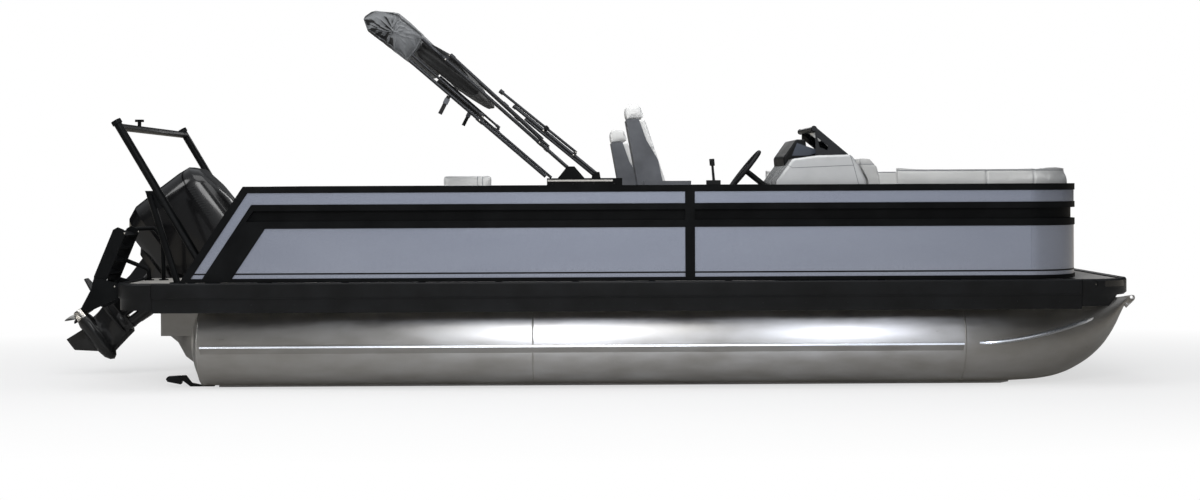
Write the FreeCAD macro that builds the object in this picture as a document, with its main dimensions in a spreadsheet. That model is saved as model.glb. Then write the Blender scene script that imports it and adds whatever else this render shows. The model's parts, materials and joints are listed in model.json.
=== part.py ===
"""A tritoon pontoon boat with an outboard, as separate pieces that seat on one another.

Frame: +X to the bow, +Y to port, +Z up, in millimetres. The origin lies on the keel line of
the centre tube, amidships, so the boat stands on its three keel bars at Z = 0.
"""
import FreeCAD, Part
import math
import os
import re
import Sketcher

doc = FreeCAD.newDocument("pontoon_boat")
sheet = doc.addObject("Spreadsheet::Sheet", "sizes")

# Driving sizes: (name, millimetres or degrees). Places are on the boat's own axes.
SIZES = (
    # tubes
    ("tube_radius", 317.5), ("tube_in", 448), ("tube_aft", -2960), ("tube_cap_deep", 90),
    ("nose_aft", 2701), ("nose_long", 1294), ("nose_top_fall", 8), ("stem_thick", 9),
    ("keel_high", 12), ("keel_wide", 70), ("keel_aft", -2850), ("keel_fore", 3080),
    ("strake_out", 36), ("strake_high", 58), ("strake_lip", 11), ("centre_aft", -3110), ("cone_long", 320),
    ("eye_plate", 10), ("eye_bore", 13), ("eye_out", 30),
    # deck, its edge trim and the frame under it
    ("deck_aft", -3540), ("deck_fore", 3940), ("half_beam", 1295), ("deck_top", 788),
    ("deck_thick", 25), ("trim_wide", 55), ("trim_top", 800), ("trim_low", 682),
    ("skirt_low", 583), ("skirt_inset", 16), ("skirt_thick", 10), ("skirt_cut", 134),
    ("bow_corner", 350), ("stern_corner", 200), ("bow_tail", 414), ("stern_tail", 283),
    ("well_half", 320), ("well_fore", -2850),
    ("member_high", 80), ("member_wide", 40), ("member_gauge", 6), ("member_pitch", 400),
    ("member_first", -2900), ("foot_wide", 160), ("seat_gap", 0.3),
    # motor pod and its side plates
    ("pod_aft", -3423), ("pod_low", 335), ("pod_top", 530), ("pod_plate", 7),
    # fence: heights down from its top edge
    ("fence_top", 1502), ("fence_low", 802), ("fence_inset", 40), ("fence_thick", 44),
    ("panel_inset", 7), ("inset_deep", 30), ("top_rail", 48), ("strip_low", 134),
    ("rail_low", 178), ("inset_low", 258), ("belt_low", 308), ("sill_high", 28),
    ("fence_aft", -3061), ("rake_run", 466), ("rake_frame", 65), ("rake_strip", 84),
    ("rake_band", 216), ("post_aft", 628), ("post_wide", 70),
    ("fence_fore", 3584), ("fence_corner", 420), ("gate_half", 300), ("gate_post", 50),
    ("gate_gap", 10), ("gate_thick", 32), ("gate_pin", 6), ("gate_axis_in", 10), ("lug_high", 11.7),
    ("foot_pitch", 560),
    ("wall_aft", -2500), ("wall_thick", 44), ("stern_gate_in", 105), ("stern_gate_wide", 560),
    # tow arch and grab rails
    ("arch_in", 250), ("arch_radius", 30), ("arch_top_run", -3565), ("arch_top", 1985),
    ("arch_foot_run", -2862), ("brace_top_run", -3322), ("brace_top", 1440),
    ("brace_foot_run", -3120), ("bar_run", -3541), ("bar_level", 1946), ("knob_side", -480),
    ("flange_radius", 58), ("flange_high", 8), ("grab_in", 695), ("grab_radius", 16),
    # ladder
    ("ladder_in", 445), ("ladder_half", 195), ("ladder_run", -3707), ("ladder_level", 790),
    ("ladder_long", 440), ("ladder_lean", 22.5), ("ladder_wide", 96), ("ladder_plate", 14),
    ("tread_count", 4), ("ladder_pin", 11),
    # outboard: measures along its own axes, forward and up its leg
    ("tilt_run", -3440), ("tilt_level", 570), ("tilt_rest", 53), ("tilt_ahead", 154),
    ("tilt_above", 609), ("steer_ahead", 95), ("tilt_pin", 16), ("clamp_half", 112),
    ("clamp_plate", 20), ("swivel_half", 82), ("swivel_radius", 45), ("yoke_low", 262),
    ("yoke_top", 652), ("yoke_thick", 28), ("gear_radius", 66), ("gear_nose", 248),
    ("gear_aft", -160), ("prop_radius", 185), ("prop_hub", 50), ("prop_aft", -237),
    ("plate_level", 205), ("plate_aft", -400), ("leg_top", 745), ("cowl_split", 898),
    ("cowl_wall", 8), ("engine_half", 165), ("engine_top", 1370),
    # folded top
    ("bow_radius", 12.5), ("top_run", -202), ("top_level", 1608),
    ("track_aft", -381), ("track_fore", 169), ("track_high", 52), ("strut_run", -15),
    ("strut_level", 1583), ("boot_cover", 1.5), ("canvas_in", 37), ("top_pin", 7),
    # helm
    ("console_aft", 1301), ("console_fore", 1965), ("console_high", -290),
    ("wheel_run", 1131), ("wheel_level", 1615), ("wheel_side", -560), ("wheel_radius", 175),
    ("wheel_tube", 15), ("wheel_lean", 51), ("column_radius", 22), ("lever_run", 836),
    ("screen_rail", 17),
    # chairs
    ("chair_run", 520), ("chair_side", -560), ("mate_run", 425), ("mate_side", 605),
    ("mate_drop", 149), ("pan_low", 1180), ("pan_thick", 60), ("seat_thick", 78),
    ("seat_half", 250), ("arm_wide", 52), ("pedestal_radius", 50), ("base_radius", 205),
    ("shell_wing", 5.7),
    # lounges
    ("lounge_top", 1130), ("pad_thick", 110), ("back_thick", 120), ("back_top", 1640),
    ("aisle_half", 420), ("lounge_gap", 6), ("lounge_aft", 2165), ("mate_lounge_aft", 1450),
    ("stern_lounge_aft", -2448), ("stern_lounge_fore", -1850), ("stern_aisle", -520),
    ("port_lounge_fore", -880), ("port_seat_in", 560),
)
for row, (name, number) in enumerate(SIZES, start=1):
    sheet.set(f"A{row}", str(number))
    sheet.setAlias(f"A{row}", name)
doc.recompute()
ALIASES = {name for name, number in SIZES}

# Places that follow from the sizes: (name, expression).
FOLLOWING = {
    "tube_side": "half_beam - tube_in",
    "fence_face": "half_beam - fence_inset",
    "stern_gate_low": "stern_gate_in - half_beam + fence_inset",
    "arch_half": "half_beam - arch_in",
    "grab_half": "half_beam - grab_in",
    "bow_cast_aft": "deck_fore - bow_tail",
    "stern_cast_fore": "deck_aft + stern_tail",
    "ladder_side": "ladder_in - half_beam",
    "bow_half": "half_beam - fence_inset - fence_thick / 2",
    "boot_half": "half_beam - fence_inset - fence_thick / 2 + bow_radius + boot_cover",
    "canvas_half": "half_beam - fence_inset - fence_thick / 2 - canvas_in",
    "console_low": "lounge_gap + fence_thick + fence_inset - half_beam",
}


class Values:
    """The sheet's cells, read back as plain numbers."""


def bound(text):
    """An expression of the sheet's names, as FreeCAD wants it."""
    def spelled(word):
        name = word.group()
        if name in FOLLOWING:
            return f"({bound(FOLLOWING[name])})"
        return "sizes." + name if name in ALIASES else name
    return re.sub(r"[a-z_]+", spelled, str(text))


size = Values()
for name in ALIASES:
    setattr(size, name, float(sheet.get(name)))
for name, expression in FOLLOWING.items():
    setattr(size, name, float(sheet.evalExpression(bound(expression))))


NODES = {}


def node(name, thing):
    """Enters a finished piece under the name of its file."""
    thing.Label = name
    NODES[name] = thing
    return thing


# --- pieces that are drawn and padded, bound to the sheet -----------------------------------
def new_body(name):
    body = doc.addObject("PartDesign::Body", name + "_body")
    body.AllowCompound = True
    return body


def draw_loop(sketch, points):
    """A closed outline whose corners are held by (across, up) expressions."""
    count = len(points)
    first = sketch.GeometryCount
    start = [FreeCAD.Vector(100 * math.cos(math.tau * turn / count),
                            100 * math.sin(math.tau * turn / count), 0) for turn in range(count)]
    sketch.addGeometry([Part.LineSegment(start[turn], start[(turn + 1) % count])
                        for turn in range(count)])
    sketch.addConstraint([Sketcher.Constraint("Coincident", first + turn, 2,
                                              first + (turn + 1) % count, 1)
                          for turn in range(count)])
    for turn, (across, up) in enumerate(points):
        for kind, text in (("DistanceX", across), ("DistanceY", up)):
            held = sketch.addConstraint(Sketcher.Constraint(kind, -1, 1, first + turn, 1, 50.0))
            sketch.setExpression(f"Constraints[{held}]", bound(text))


def pad(body, plane, loops, start, length):
    """Pads closed outlines of one of the body's planes from a start, along its normal.

    XY pads upwards and its outlines are (X, Y); XZ pads towards starboard, from Y = -start,
    and its outlines are (X, Z); YZ pads towards the bow and its outlines are (Y, Z).
    """
    sketch = body.newObject("Sketcher::SketchObject", "outline")
    face = [item for item in body.Origin.OriginFeatures if item.Role == plane + "_Plane"][0]
    sketch.AttachmentSupport = [(face, "")]
    sketch.MapMode = "FlatFace"
    sketch.setExpression(".AttachmentOffset.Base.z", bound(start))
    for loop in loops:
        draw_loop(sketch, loop)
    feature = body.newObject("PartDesign::Pad", "pad")
    feature.Profile = sketch
    feature.setExpression("Length", bound(length))
    return feature


def across(body, loops, low, high):
    """Pads (X, Z) outlines from Y = low to Y = high."""
    return pad(body, "XZ", loops, f"-({high})", f"({high}) - ({low})")


def rectangle(low_a, low_b, high_a, high_b):
    return [(low_a, low_b), (high_a, low_b), (high_a, high_b), (low_a, high_b)]


def box(name, low, high):
    """A block between two corners, each given as three expressions."""
    block = doc.addObject("Part::Box", name + "_box")
    for side, place, start, end in zip(("Length", "Width", "Height"), "xyz", low, high):
        block.setExpression(side, bound(f"({end}) - ({start})"))
        block.setExpression(".Placement.Base." + place, bound(start))
    return block


def rod(name, radius, length, place, axis, angle=90):
    """A round bar from a place, turned from upright about an axis."""
    bar = doc.addObject("Part::Cylinder", name + "_rod")
    bar.Placement = FreeCAD.Placement(FreeCAD.Vector(), FreeCAD.Rotation(FreeCAD.Vector(*axis), angle))
    bar.setExpression("Radius", bound(radius))
    bar.setExpression("Height", bound(length))
    for letter, text in zip("xyz", place):
        bar.setExpression(".Placement.Base." + letter, bound(text))
    return bar


def joined(name, things):
    whole = doc.addObject("Part::MultiFuse", name + "_joined")
    whole.Shapes = things
    return whole


def group(name, things):
    """Pieces of one node that do not touch."""
    whole = doc.addObject("Part::Compound", name + "_set")
    whole.Links = things
    return whole


def less(name, base, tool):
    rest = doc.addObject("Part::Cut", name + "_cut")
    rest.Base = base
    rest.Tool = tool
    return rest


# --- pieces whose surfaces follow a rule ------------------------------------------------------
def vec(x, y, z):
    return FreeCAD.Vector(x, y, z)


def made(name, shape, placement=None):
    """A piece whose shape is worked out here from the sheet's values."""
    thing = doc.addObject("Part::Feature", name + "_made")
    thing.Shape = shape
    if placement is not None:
        thing.Placement = placement
    return thing


def plate(points, low, high):
    """An (X, Z) outline between two stations across the boat."""
    wire = Part.makePolygon([vec(x, low, z) for x, z in points + points[:1]])
    return Part.Face(wire).extrude(vec(0, high - low, 0))


def pipe(points, radius, bend=0.0):
    """A round tube on straight runs, with an arc of one radius at each corner."""
    edges = []
    last = points[0]
    for before, corner, after in zip(points, points[1:], points[2:]):
        back = (before - corner).normalize()
        ahead = (after - corner).normalize()
        half = back.getAngle(ahead) / 2
        reach = bend / math.tan(half)
        start = corner + back * reach
        end = corner + ahead * reach
        middle = corner + (back + ahead).normalize() * (bend / math.sin(half) - bend)
        edges.append(Part.LineSegment(last, start).toShape())
        edges.append(Part.Arc(start, middle, end).toShape())
        last = end
    edges.append(Part.LineSegment(last, points[-1]).toShape())
    path = Part.Wire(edges)
    circle = Part.Wire([Part.makeCircle(radius, points[0], points[1] - points[0])])
    return path.makePipeShell([circle], True, False, 2)


def disc(centre, axis, radius, thick):
    return Part.makeCylinder(radius, thick, centre, axis)


def mirrored(shape):
    return shape.mirror(vec(0, 0, 0), vec(0, 1, 0))


def both_sides(shape):
    return Part.makeCompound([shape, mirrored(shape)])


# --- tubes ------------------------------------------------------------------------------------
AXIS_LEVEL = size.tube_radius + size.keel_high
TUBE_TOP = AXIS_LEVEL + size.tube_radius

# how the nose closes: share of its length, rise of the stem and half width, as shares of
# the tube's diameter and radius
NOSE = ((0.0, 0.0, 1.0), (0.23, 0.003, 0.947), (0.36, 0.013, 0.87), (0.475, 0.031, 0.774),
        (0.59, 0.079, 0.652), (0.707, 0.186, 0.5), (0.823, 0.364, 0.323), (0.905, 0.58, 0.181),
        (0.96, 0.8, 0.085), (1.0, 0.97, 0.0))


def nose_section(along, rise, wide):
    """Two arcs that meet at the stem and along the top seam."""
    x = size.nose_aft + along * size.nose_long
    low = AXIS_LEVEL - size.tube_radius + rise * 2 * size.tube_radius
    high = TUBE_TOP - along * size.nose_top_fall
    half = max(wide * size.tube_radius, size.stem_thick)
    middle = (low + high) / 2
    half = min(half, (high - low) / 2)
    keel = vec(x, 0, low)
    seam = vec(x, 0, high)
    port = Part.Arc(keel, vec(x, half, middle), seam).toShape()
    starboard = Part.Arc(seam, vec(x, -half, middle), keel).toShape()
    return Part.Wire([port, starboard])


def tube_run(aft_profile, grow=0.0):
    """The straight tube behind the nose: its aft end's (X, radius) profile, turned."""
    edges = []
    for (x, radius), (next_x, next_radius) in zip(aft_profile, aft_profile[1:]):
        edges.append(Part.LineSegment(vec(x, 0, radius + grow), vec(next_x, 0, next_radius + grow)))
    first = vec(aft_profile[0][0] - grow, 0, 0)
    start = vec(aft_profile[0][0] - grow, 0, aft_profile[0][1] + grow)
    if start.z > 0:
        edges.insert(0, Part.LineSegment(first, start))
        if grow:
            edges.insert(1, Part.LineSegment(start, vec(aft_profile[0][0], 0, start.z)))
    shoulder = vec(aft_profile[-1][0], 0, size.tube_radius + grow)
    rim = vec(size.nose_aft, 0, size.tube_radius + grow)
    hub = vec(size.nose_aft, 0, 0)
    edges += [Part.LineSegment(shoulder, rim), Part.LineSegment(rim, hub),
              Part.LineSegment(hub, first)]
    face = Part.Face(Part.Wire([edge.toShape() for edge in edges]))
    run = face.revolve(vec(0, 0, 0), vec(1, 0, 0), 360)
    run.translate(vec(0, 0, AXIS_LEVEL))
    return run


def dished_end(x, deep, steps=5):
    """(X, radius) stations of a spherical cap."""
    ball = (size.tube_radius ** 2 + deep ** 2) / (2 * deep)
    stations = []
    for step in range(steps + 1):
        radius = size.tube_radius * step / steps
        stations.append((x - deep + ball - math.sqrt(ball ** 2 - radius ** 2), radius))
    return stations


def eye_plate():
    tip = size.nose_aft + size.nose_long + size.eye_out
    level = TUBE_TOP - size.nose_top_fall
    outline = [(tip - 110, level - 2), (tip + 16, level + 16), (tip + 26, level),
               (tip + 18, level - 26), (tip - 40, level - 80)]
    ear = plate(outline, -size.eye_plate / 2, size.eye_plate / 2)
    bore = disc(vec(tip, -size.eye_plate, level), vec(0, 1, 0), size.eye_bore, 2 * size.eye_plate)
    return ear, bore


def pontoon(aft_profile, side):
    nose = Part.makeLoft([nose_section(*station) for station in NOSE], True, True)
    keel = Part.makeBox(size.keel_fore - size.keel_aft, size.keel_wide, size.keel_high + 8,
                        vec(size.keel_aft, -size.keel_wide / 2, 0))
    aft = aft_profile[-1][0]
    root = size.tube_radius - 14
    lip = size.tube_radius + size.strake_out
    fin = [(root, 3), (lip, 0), (lip, -size.strake_lip), (root, -10 - size.strake_high)]
    strake = Part.makePolygon([vec(aft, out, AXIS_LEVEL + rise) for out, rise in fin + fin[:1]])
    strake = Part.Face(strake).extrude(vec(size.nose_aft - aft, 0, 0))
    ear, bore = eye_plate()
    whole = tube_run(aft_profile).multiFuse([nose, keel, strake, mirrored(strake), ear])
    whole = whole.cut(bore).removeSplitter()
    whole.translate(vec(0, side, 0))
    return whole


SIDE_END = dished_end(size.tube_aft, size.tube_cap_deep)
CONE_TIP = size.centre_aft - size.cone_long
CONE_END = [(CONE_TIP, 18), (CONE_TIP + 75, 76), (CONE_TIP + 145, 190), (size.centre_aft, size.tube_radius)]
node("pontoon_starboard", made("pontoon_starboard", pontoon(SIDE_END, -size.tube_side)))
node("pontoon_port", made("pontoon_port", pontoon(SIDE_END, size.tube_side)))
node("pontoon_centre", made("pontoon_centre", pontoon(CONE_END, 0)))

# --- crossmembers: channels under the deck, the middle ones on saddles welded to the tubes -----
DECK_LOW = "(deck_top - deck_thick)"
MEMBER_LOW = "(deck_top - deck_thick - member_high)"
DECK_EDGE = "(half_beam - trim_wide)"
SADDLED = 15


def channel(x):
    return [(x, MEMBER_LOW), (f"{x} + member_wide", MEMBER_LOW),
            (f"{x} + member_wide", f"{MEMBER_LOW} + member_gauge"),
            (f"{x} + member_gauge", f"{MEMBER_LOW} + member_gauge"),
            (f"{x} + member_gauge", f"{DECK_LOW} - member_gauge"),
            (f"{x} + member_wide", f"{DECK_LOW} - member_gauge"),
            (f"{x} + member_wide", DECK_LOW), (x, DECK_LOW)]


frames = new_body("crossmembers")
rib = [across(frames, [channel("member_first")], f"-{DECK_EDGE}", DECK_EDGE)]
saddle_low = "(2 * tube_radius + keel_high - foot_wide * foot_wide / (8 * tube_radius) - 2)"
for middle in ("-tube_side", "0", "tube_side"):
    saddle = rectangle("member_first", saddle_low, "member_first + member_wide", MEMBER_LOW)
    rib.append(across(frames, [saddle], f"{middle} - foot_wide / 2", f"{middle} + foot_wide / 2"))
row_of_ribs = frames.newObject("PartDesign::LinearPattern", "rib_row")
row_of_ribs.Originals = rib
row_of_ribs.Direction = ([item for item in frames.Origin.OriginFeatures if item.Role == "X_Axis"][0], [""])
row_of_ribs.Occurrences = SADDLED
row_of_ribs.setExpression("Length", bound(f"member_pitch * {SADDLED - 1}"))
frames.Tip = row_of_ribs
for place in (-1, SADDLED, SADDLED + 1):
    across(frames, [channel(f"(member_first + member_pitch * {place})")], f"-{DECK_EDGE}", DECK_EDGE)
saddle_cut = [rod(f"tube_space_{count}", "tube_radius + seat_gap", "nose_aft - member_first + 900",
                  ("member_first - 400", middle, "tube_radius + keel_high"), (0, 1, 0))
              for count, middle in enumerate(("-tube_side", "0", "tube_side"))]
well_space = box("well_space", ("deck_aft", "-well_half", "trim_low - 200"),
                 ("well_fore", "well_half", "trim_top"))
node("crossmembers", less("crossmembers", frames, joined("crossmember_spaces", saddle_cut + [well_space])))

# --- deck and its edge ------------------------------------------------------------------------
def upright_edges(shape, low_x, high_x):
    """Names of the edges along Z whose place lies between two stations."""
    names = []
    for count, edge in enumerate(shape.Edges, start=1):
        straight = abs(edge.tangentAt(edge.FirstParameter).z) > 0.99
        if straight and low_x < edge.CenterOfMass.x < high_x:
            names.append(f"Edge{count}")
    return names


floor = new_body("deck")
sheet_out = [("deck_aft + trim_wide", f"-{DECK_EDGE}"), ("deck_fore - trim_wide", f"-{DECK_EDGE}"),
             ("deck_fore - trim_wide", DECK_EDGE), ("deck_aft + trim_wide", DECK_EDGE),
             ("deck_aft + trim_wide", "well_half"), ("well_fore", "well_half"),
             ("well_fore", "-well_half"), ("deck_aft + trim_wide", "-well_half")]
floor_pad = pad(floor, "XY", [sheet_out], DECK_LOW, "deck_thick")
doc.recompute()


def rounded(body, base, low_x, high_x, keep, radius):
    """Rounds the upright corners of a body between two stations and beyond a half width."""
    fillet = body.newObject("PartDesign::Fillet", "corner")
    names = [name for name in upright_edges(base.Shape, low_x, high_x)
             if abs(base.Shape.getElement(name).CenterOfMass.y) > keep]
    fillet.Base = (base, names)
    fillet.setExpression("Radius", bound(radius))
    doc.recompute()
    return fillet


floor_bow = rounded(floor, floor_pad, 0, size.deck_fore, size.well_half + 1, "bow_corner - trim_wide")
rounded(floor, floor_bow, size.deck_aft, size.well_fore - 1, size.well_half + 1, "stern_corner - trim_wide")
node("deck", floor)


def trim_section(face, inward, skirt=True):
    """Rub rail and skirt in section: (offset, level) with the outer face given, and its inward sign."""
    inner = f"{face} + {inward} * trim_wide"
    out = f"{face} + {inward} * skirt_inset"
    back = f"{face} + {inward} * (skirt_inset + skirt_thick)"
    hanging = [(out, "skirt_low"), (back, "skirt_low"), (back, "trim_low")] if skirt else []
    return [(inner, "trim_top"), (f"{face} + {inward} * 8", "trim_top"), (face, "trim_top - 12"),
            (face, "trim_low + 14"), (out, "trim_low")] + hanging + [(inner, "trim_low")]


for name, face, inward in (("side_trim_starboard", "-half_beam", "1"), ("side_trim_port", "half_beam", "-1")):
    trim = new_body(name)
    pad(trim, "YZ", [trim_section(face, inward)], "stern_cast_fore", "bow_cast_aft - stern_cast_fore")
    node(name, trim)

bow_trim = new_body("bow_trim")
across(bow_trim, [trim_section("deck_fore", "-1", skirt=False)], "bow_corner - half_beam",
       "half_beam - bow_corner")
node("bow_trim", bow_trim)
stern_trim = new_body("stern_trim")
for low, high in (("stern_corner - half_beam", "-well_half"), ("well_half", "half_beam - stern_corner")):
    across(stern_trim, [trim_section("deck_aft", "1")], low, high)
node("stern_trim", stern_trim)


def corner_casting(run, side, radius, straight_end, sign):
    """A rounded corner of the deck's edge, with its short straight tail on the side."""
    section = ((size.trim_wide, size.trim_top), (8, size.trim_top), (0, size.trim_top - 12),
               (0, size.trim_low + 14), (size.skirt_inset, size.trim_low),
               (size.skirt_inset, size.skirt_low + 20),
               (size.skirt_inset + size.skirt_thick, size.skirt_low + 20),
               (size.skirt_inset + size.skirt_thick, size.trim_low), (size.trim_wide, size.trim_low))
    wire = Part.makePolygon([vec(0, radius - inset, level) for inset, level in section + section[:1]])
    turned = Part.Face(wire).revolve(vec(0, 0, 0), vec(0, 0, 1), -90 * sign)
    tail = Part.Face(wire).extrude(vec(straight_end - run, 0, 0))
    turned.translate(vec(run, side, 0))
    tail.translate(vec(run, side, 0))
    return turned.fuse(tail).removeSplitter()


bow_casting = corner_casting(size.deck_fore - size.bow_corner, size.half_beam - size.bow_corner,
                             size.bow_corner, size.bow_cast_aft, 1)
stern_casting = corner_casting(size.deck_aft + size.stern_corner, size.half_beam - size.stern_corner,
                               size.stern_corner, size.stern_cast_fore, -1)
skirt_end = plate([(size.deck_fore - size.skirt_cut, size.trim_low - 1),
                   (size.deck_fore - size.skirt_cut - 95, size.skirt_low),
                   (size.deck_fore + 10, size.skirt_low), (size.deck_fore + 10, size.trim_low - 1)],
                  0, size.half_beam)
node("bow_corners", made("bow_corners", both_sides(bow_casting.cut(skirt_end))))
node("stern_corners", made("stern_corners", both_sides(stern_casting)))

# --- motor pod: a welded box behind the centre tube, between two side plates ---------------------
pod = new_body("motor_pod")
pod_side = [("pod_aft", "pod_low"), ("pod_aft", "pod_top"), ("pod_aft + 143", "pod_top"),
            ("well_fore - 300", "pod_top + 70"), ("well_fore - 110", "pod_top + 170"),
            ("well_fore", DECK_LOW), ("well_fore", MEMBER_LOW), ("centre_aft + 60", "pod_low + 200"),
            ("centre_aft + 60", "pod_low")]
across(pod, [pod_side], "-(well_half - 1 - pod_plate)", "well_half - 1 - pod_plate")
cheek = [("pod_aft", "pod_low"), ("pod_aft", "trim_low - 30"), ("pod_aft + 60", DECK_LOW),
         ("well_fore", DECK_LOW), ("centre_aft + 60", "pod_low")]
across(pod, [cheek], "well_half - 1 - pod_plate", "well_half - 1")
across(pod, [cheek], "1 - well_half", "1 + pod_plate - well_half")
cone_space = made("cone_space", tube_run(CONE_END, size.seat_gap))
node("motor_pod", less("motor_pod", pod, cone_space))

# --- fence --------------------------------------------------------------------------------------
RAIL = "(fence_top - top_rail)"
STRIP = "(fence_top - strip_low)"
LOWER_RAIL = "(fence_top - rail_low)"
INSET = "(fence_top - inset_low)"
BELT = "(fence_top - belt_low)"
SILL = "(fence_low + sill_high)"
SIDE_END_X = "(fence_fore - fence_corner)"


def rake(level, ahead="0"):
    """Where the raked aft edge stands at a level, and so far ahead of it."""
    return f"(fence_aft + rake_run * ({level} - fence_low) / (fence_top - fence_low) + {ahead})"


STRIP_AFT = "(rake_frame + rake_strip)"
PANEL_AFT = "(rake_frame + rake_strip + rake_band)"
POST_FORE = "(post_aft + post_wide)"
strip_hole = [(rake(SILL, "rake_frame"), SILL), (rake(RAIL, "rake_frame"), RAIL), ("post_aft", RAIL),
              ("post_aft", STRIP), (rake(STRIP, STRIP_AFT), STRIP), (rake(SILL, STRIP_AFT), SILL)]
panel_hole = [(rake(SILL, PANEL_AFT), SILL), (rake(BELT, PANEL_AFT), BELT), ("post_aft", BELT),
              ("post_aft", SILL)]
inset_hole = [(rake(INSET, "rake_frame + rake_strip + 45"), INSET),
              (rake(LOWER_RAIL, "rake_frame + rake_strip + 45"), LOWER_RAIL),
              ("post_aft", LOWER_RAIL), ("post_aft", INSET)]
fore_strip = rectangle(POST_FORE, STRIP, SIDE_END_X, RAIL)
fore_panel = rectangle(POST_FORE, SILL, SIDE_END_X, BELT)
fore_inset = rectangle(POST_FORE, INSET, SIDE_END_X, LOWER_RAIL)
frame_out = [("fence_aft", "fence_low"), (rake("fence_top"), "fence_top"), (SIDE_END_X, "fence_top"),
             (SIDE_END_X, RAIL), (POST_FORE, RAIL), (POST_FORE, STRIP), (SIDE_END_X, STRIP),
             (SIDE_END_X, LOWER_RAIL), (POST_FORE, LOWER_RAIL), (POST_FORE, INSET),
             (SIDE_END_X, INSET), (SIDE_END_X, BELT), (POST_FORE, BELT), (POST_FORE, SILL),
             (SIDE_END_X, SILL), (SIDE_END_X, "fence_low")]
FEET = 11


def fence_side(name, sign):
    """One side: the black frame with its set-back inset, and the panels that fill it."""
    def span(outer, inner):
        near = f"(fence_face - ({outer}))"
        far = f"(fence_face - ({inner}))"
        return (f"-{near}", f"-{far}") if sign < 0 else (far, near)
    frame = new_body("fence_frame_" + name)
    across(frame, [frame_out, strip_hole, panel_hole, inset_hole], *span("0", "fence_thick"))
    across(frame, [inset_hole, fore_inset], *span("inset_deep", "fence_thick"))
    for count in range(FEET):
        left = f"(fence_aft + 60 + foot_pitch * {count})"
        foot = rectangle(left, "deck_top", f"{left} + 50", "fence_low")
        across(frame, [foot], *span("fence_face - half_beam + trim_wide", "fence_thick - 4"))
    node("fence_frame_" + name, frame)
    panels = new_body("fence_panels_" + name)
    across(panels, [strip_hole, panel_hole, fore_strip, fore_panel],
           *span("panel_inset", "fence_thick - 4"))
    node("fence_panels_" + name, panels)


fence_side("starboard", -1)
fence_side("port", 1)


def bow_band(low, high, outer, inner, start=None):
    """A level band round one bow corner to the gate post, between two insets from the face."""
    run = size.fence_fore - size.fence_corner
    side = size.fence_face - size.fence_corner
    end = size.gate_half + size.gate_gap if start is None else start
    edges = []
    far = size.fence_corner - outer
    near = size.fence_corner - inner
    turn = math.sqrt(0.5)
    edges.append(Part.Arc(vec(run, side + far, low), vec(run + far * turn, side + far * turn, low),
                          vec(run + far, side, low)))
    edges.append(Part.LineSegment(vec(run + far, side, low), vec(run + far, end, low)))
    edges.append(Part.LineSegment(vec(run + far, end, low), vec(run + near, end, low)))
    edges.append(Part.LineSegment(vec(run + near, end, low), vec(run + near, side, low)))
    edges.append(Part.Arc(vec(run + near, side, low), vec(run + near * turn, side + near * turn, low),
                          vec(run, side + near, low)))
    edges.append(Part.LineSegment(vec(run, side + near, low), vec(run, side + far, low)))
    return Part.Face(Part.Wire([edge.toShape() for edge in edges])).extrude(vec(0, 0, high - low))


top = size.fence_top
levels = {"rail": top - size.top_rail, "strip": top - size.strip_low, "lower": top - size.rail_low,
          "inset": top - size.inset_low, "belt": top - size.belt_low,
          "sill": size.fence_low + size.sill_high}
JAMB = size.gate_half + size.gate_gap + size.gate_post
bow_frame = [bow_band(levels["rail"], top, 0, size.fence_thick),
             bow_band(levels["lower"], levels["strip"], 0, size.fence_thick),
             bow_band(levels["inset"], levels["lower"], size.inset_deep, size.fence_thick),
             bow_band(levels["belt"], levels["inset"], 0, size.fence_thick),
             bow_band(size.fence_low, levels["sill"], 0, size.fence_thick)]
jamb = Part.makeBox(size.fence_thick, size.gate_post, top - size.deck_top,
                    vec(size.fence_fore - size.fence_thick, size.gate_half + size.gate_gap, size.deck_top))
half = bow_frame[0].multiFuse(bow_frame[1:] + [jamb]).removeSplitter()


def gate_lugs(axis_run, axis_side, jamb_side):
    """Top and bottom hinge lugs of a gate, each with the pin that enters the leaf."""
    lugs = []
    reach = size.gate_axis_in + 4
    low_side = min(jamb_side, axis_side - reach)
    high_side = max(jamb_side, axis_side + reach)
    for low, pin_low in ((size.fence_low, size.fence_low + 2), (top - size.lug_high, top - size.lug_high - 20)):
        lug = Part.makeBox(2 * reach, high_side - low_side, size.lug_high, vec(axis_run - reach, low_side, low))
        lugs.append(lug.fuse(disc(vec(axis_run, axis_side, pin_low), vec(0, 0, 1), size.gate_pin,
                                  size.lug_high + 18)))
    return lugs


BOW_AXIS = (size.fence_fore - size.fence_thick + size.gate_axis_in, size.gate_axis_in - size.gate_half)
starboard_half = mirrored(half).multiFuse(gate_lugs(*BOW_AXIS, -size.gate_half - size.gate_gap))
node("fence_frame_bow", made("fence_frame_bow", Part.makeCompound([half, starboard_half.removeSplitter()])))
bow_panels = [bow_band(levels["strip"], levels["rail"], size.panel_inset, size.fence_thick - 4, JAMB),
              bow_band(levels["sill"], levels["belt"], size.panel_inset, size.fence_thick - 4, JAMB)]
node("fence_panels_bow", made("fence_panels_bow", Part.makeCompound(
    bow_panels + [mirrored(piece) for piece in bow_panels])))


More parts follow.
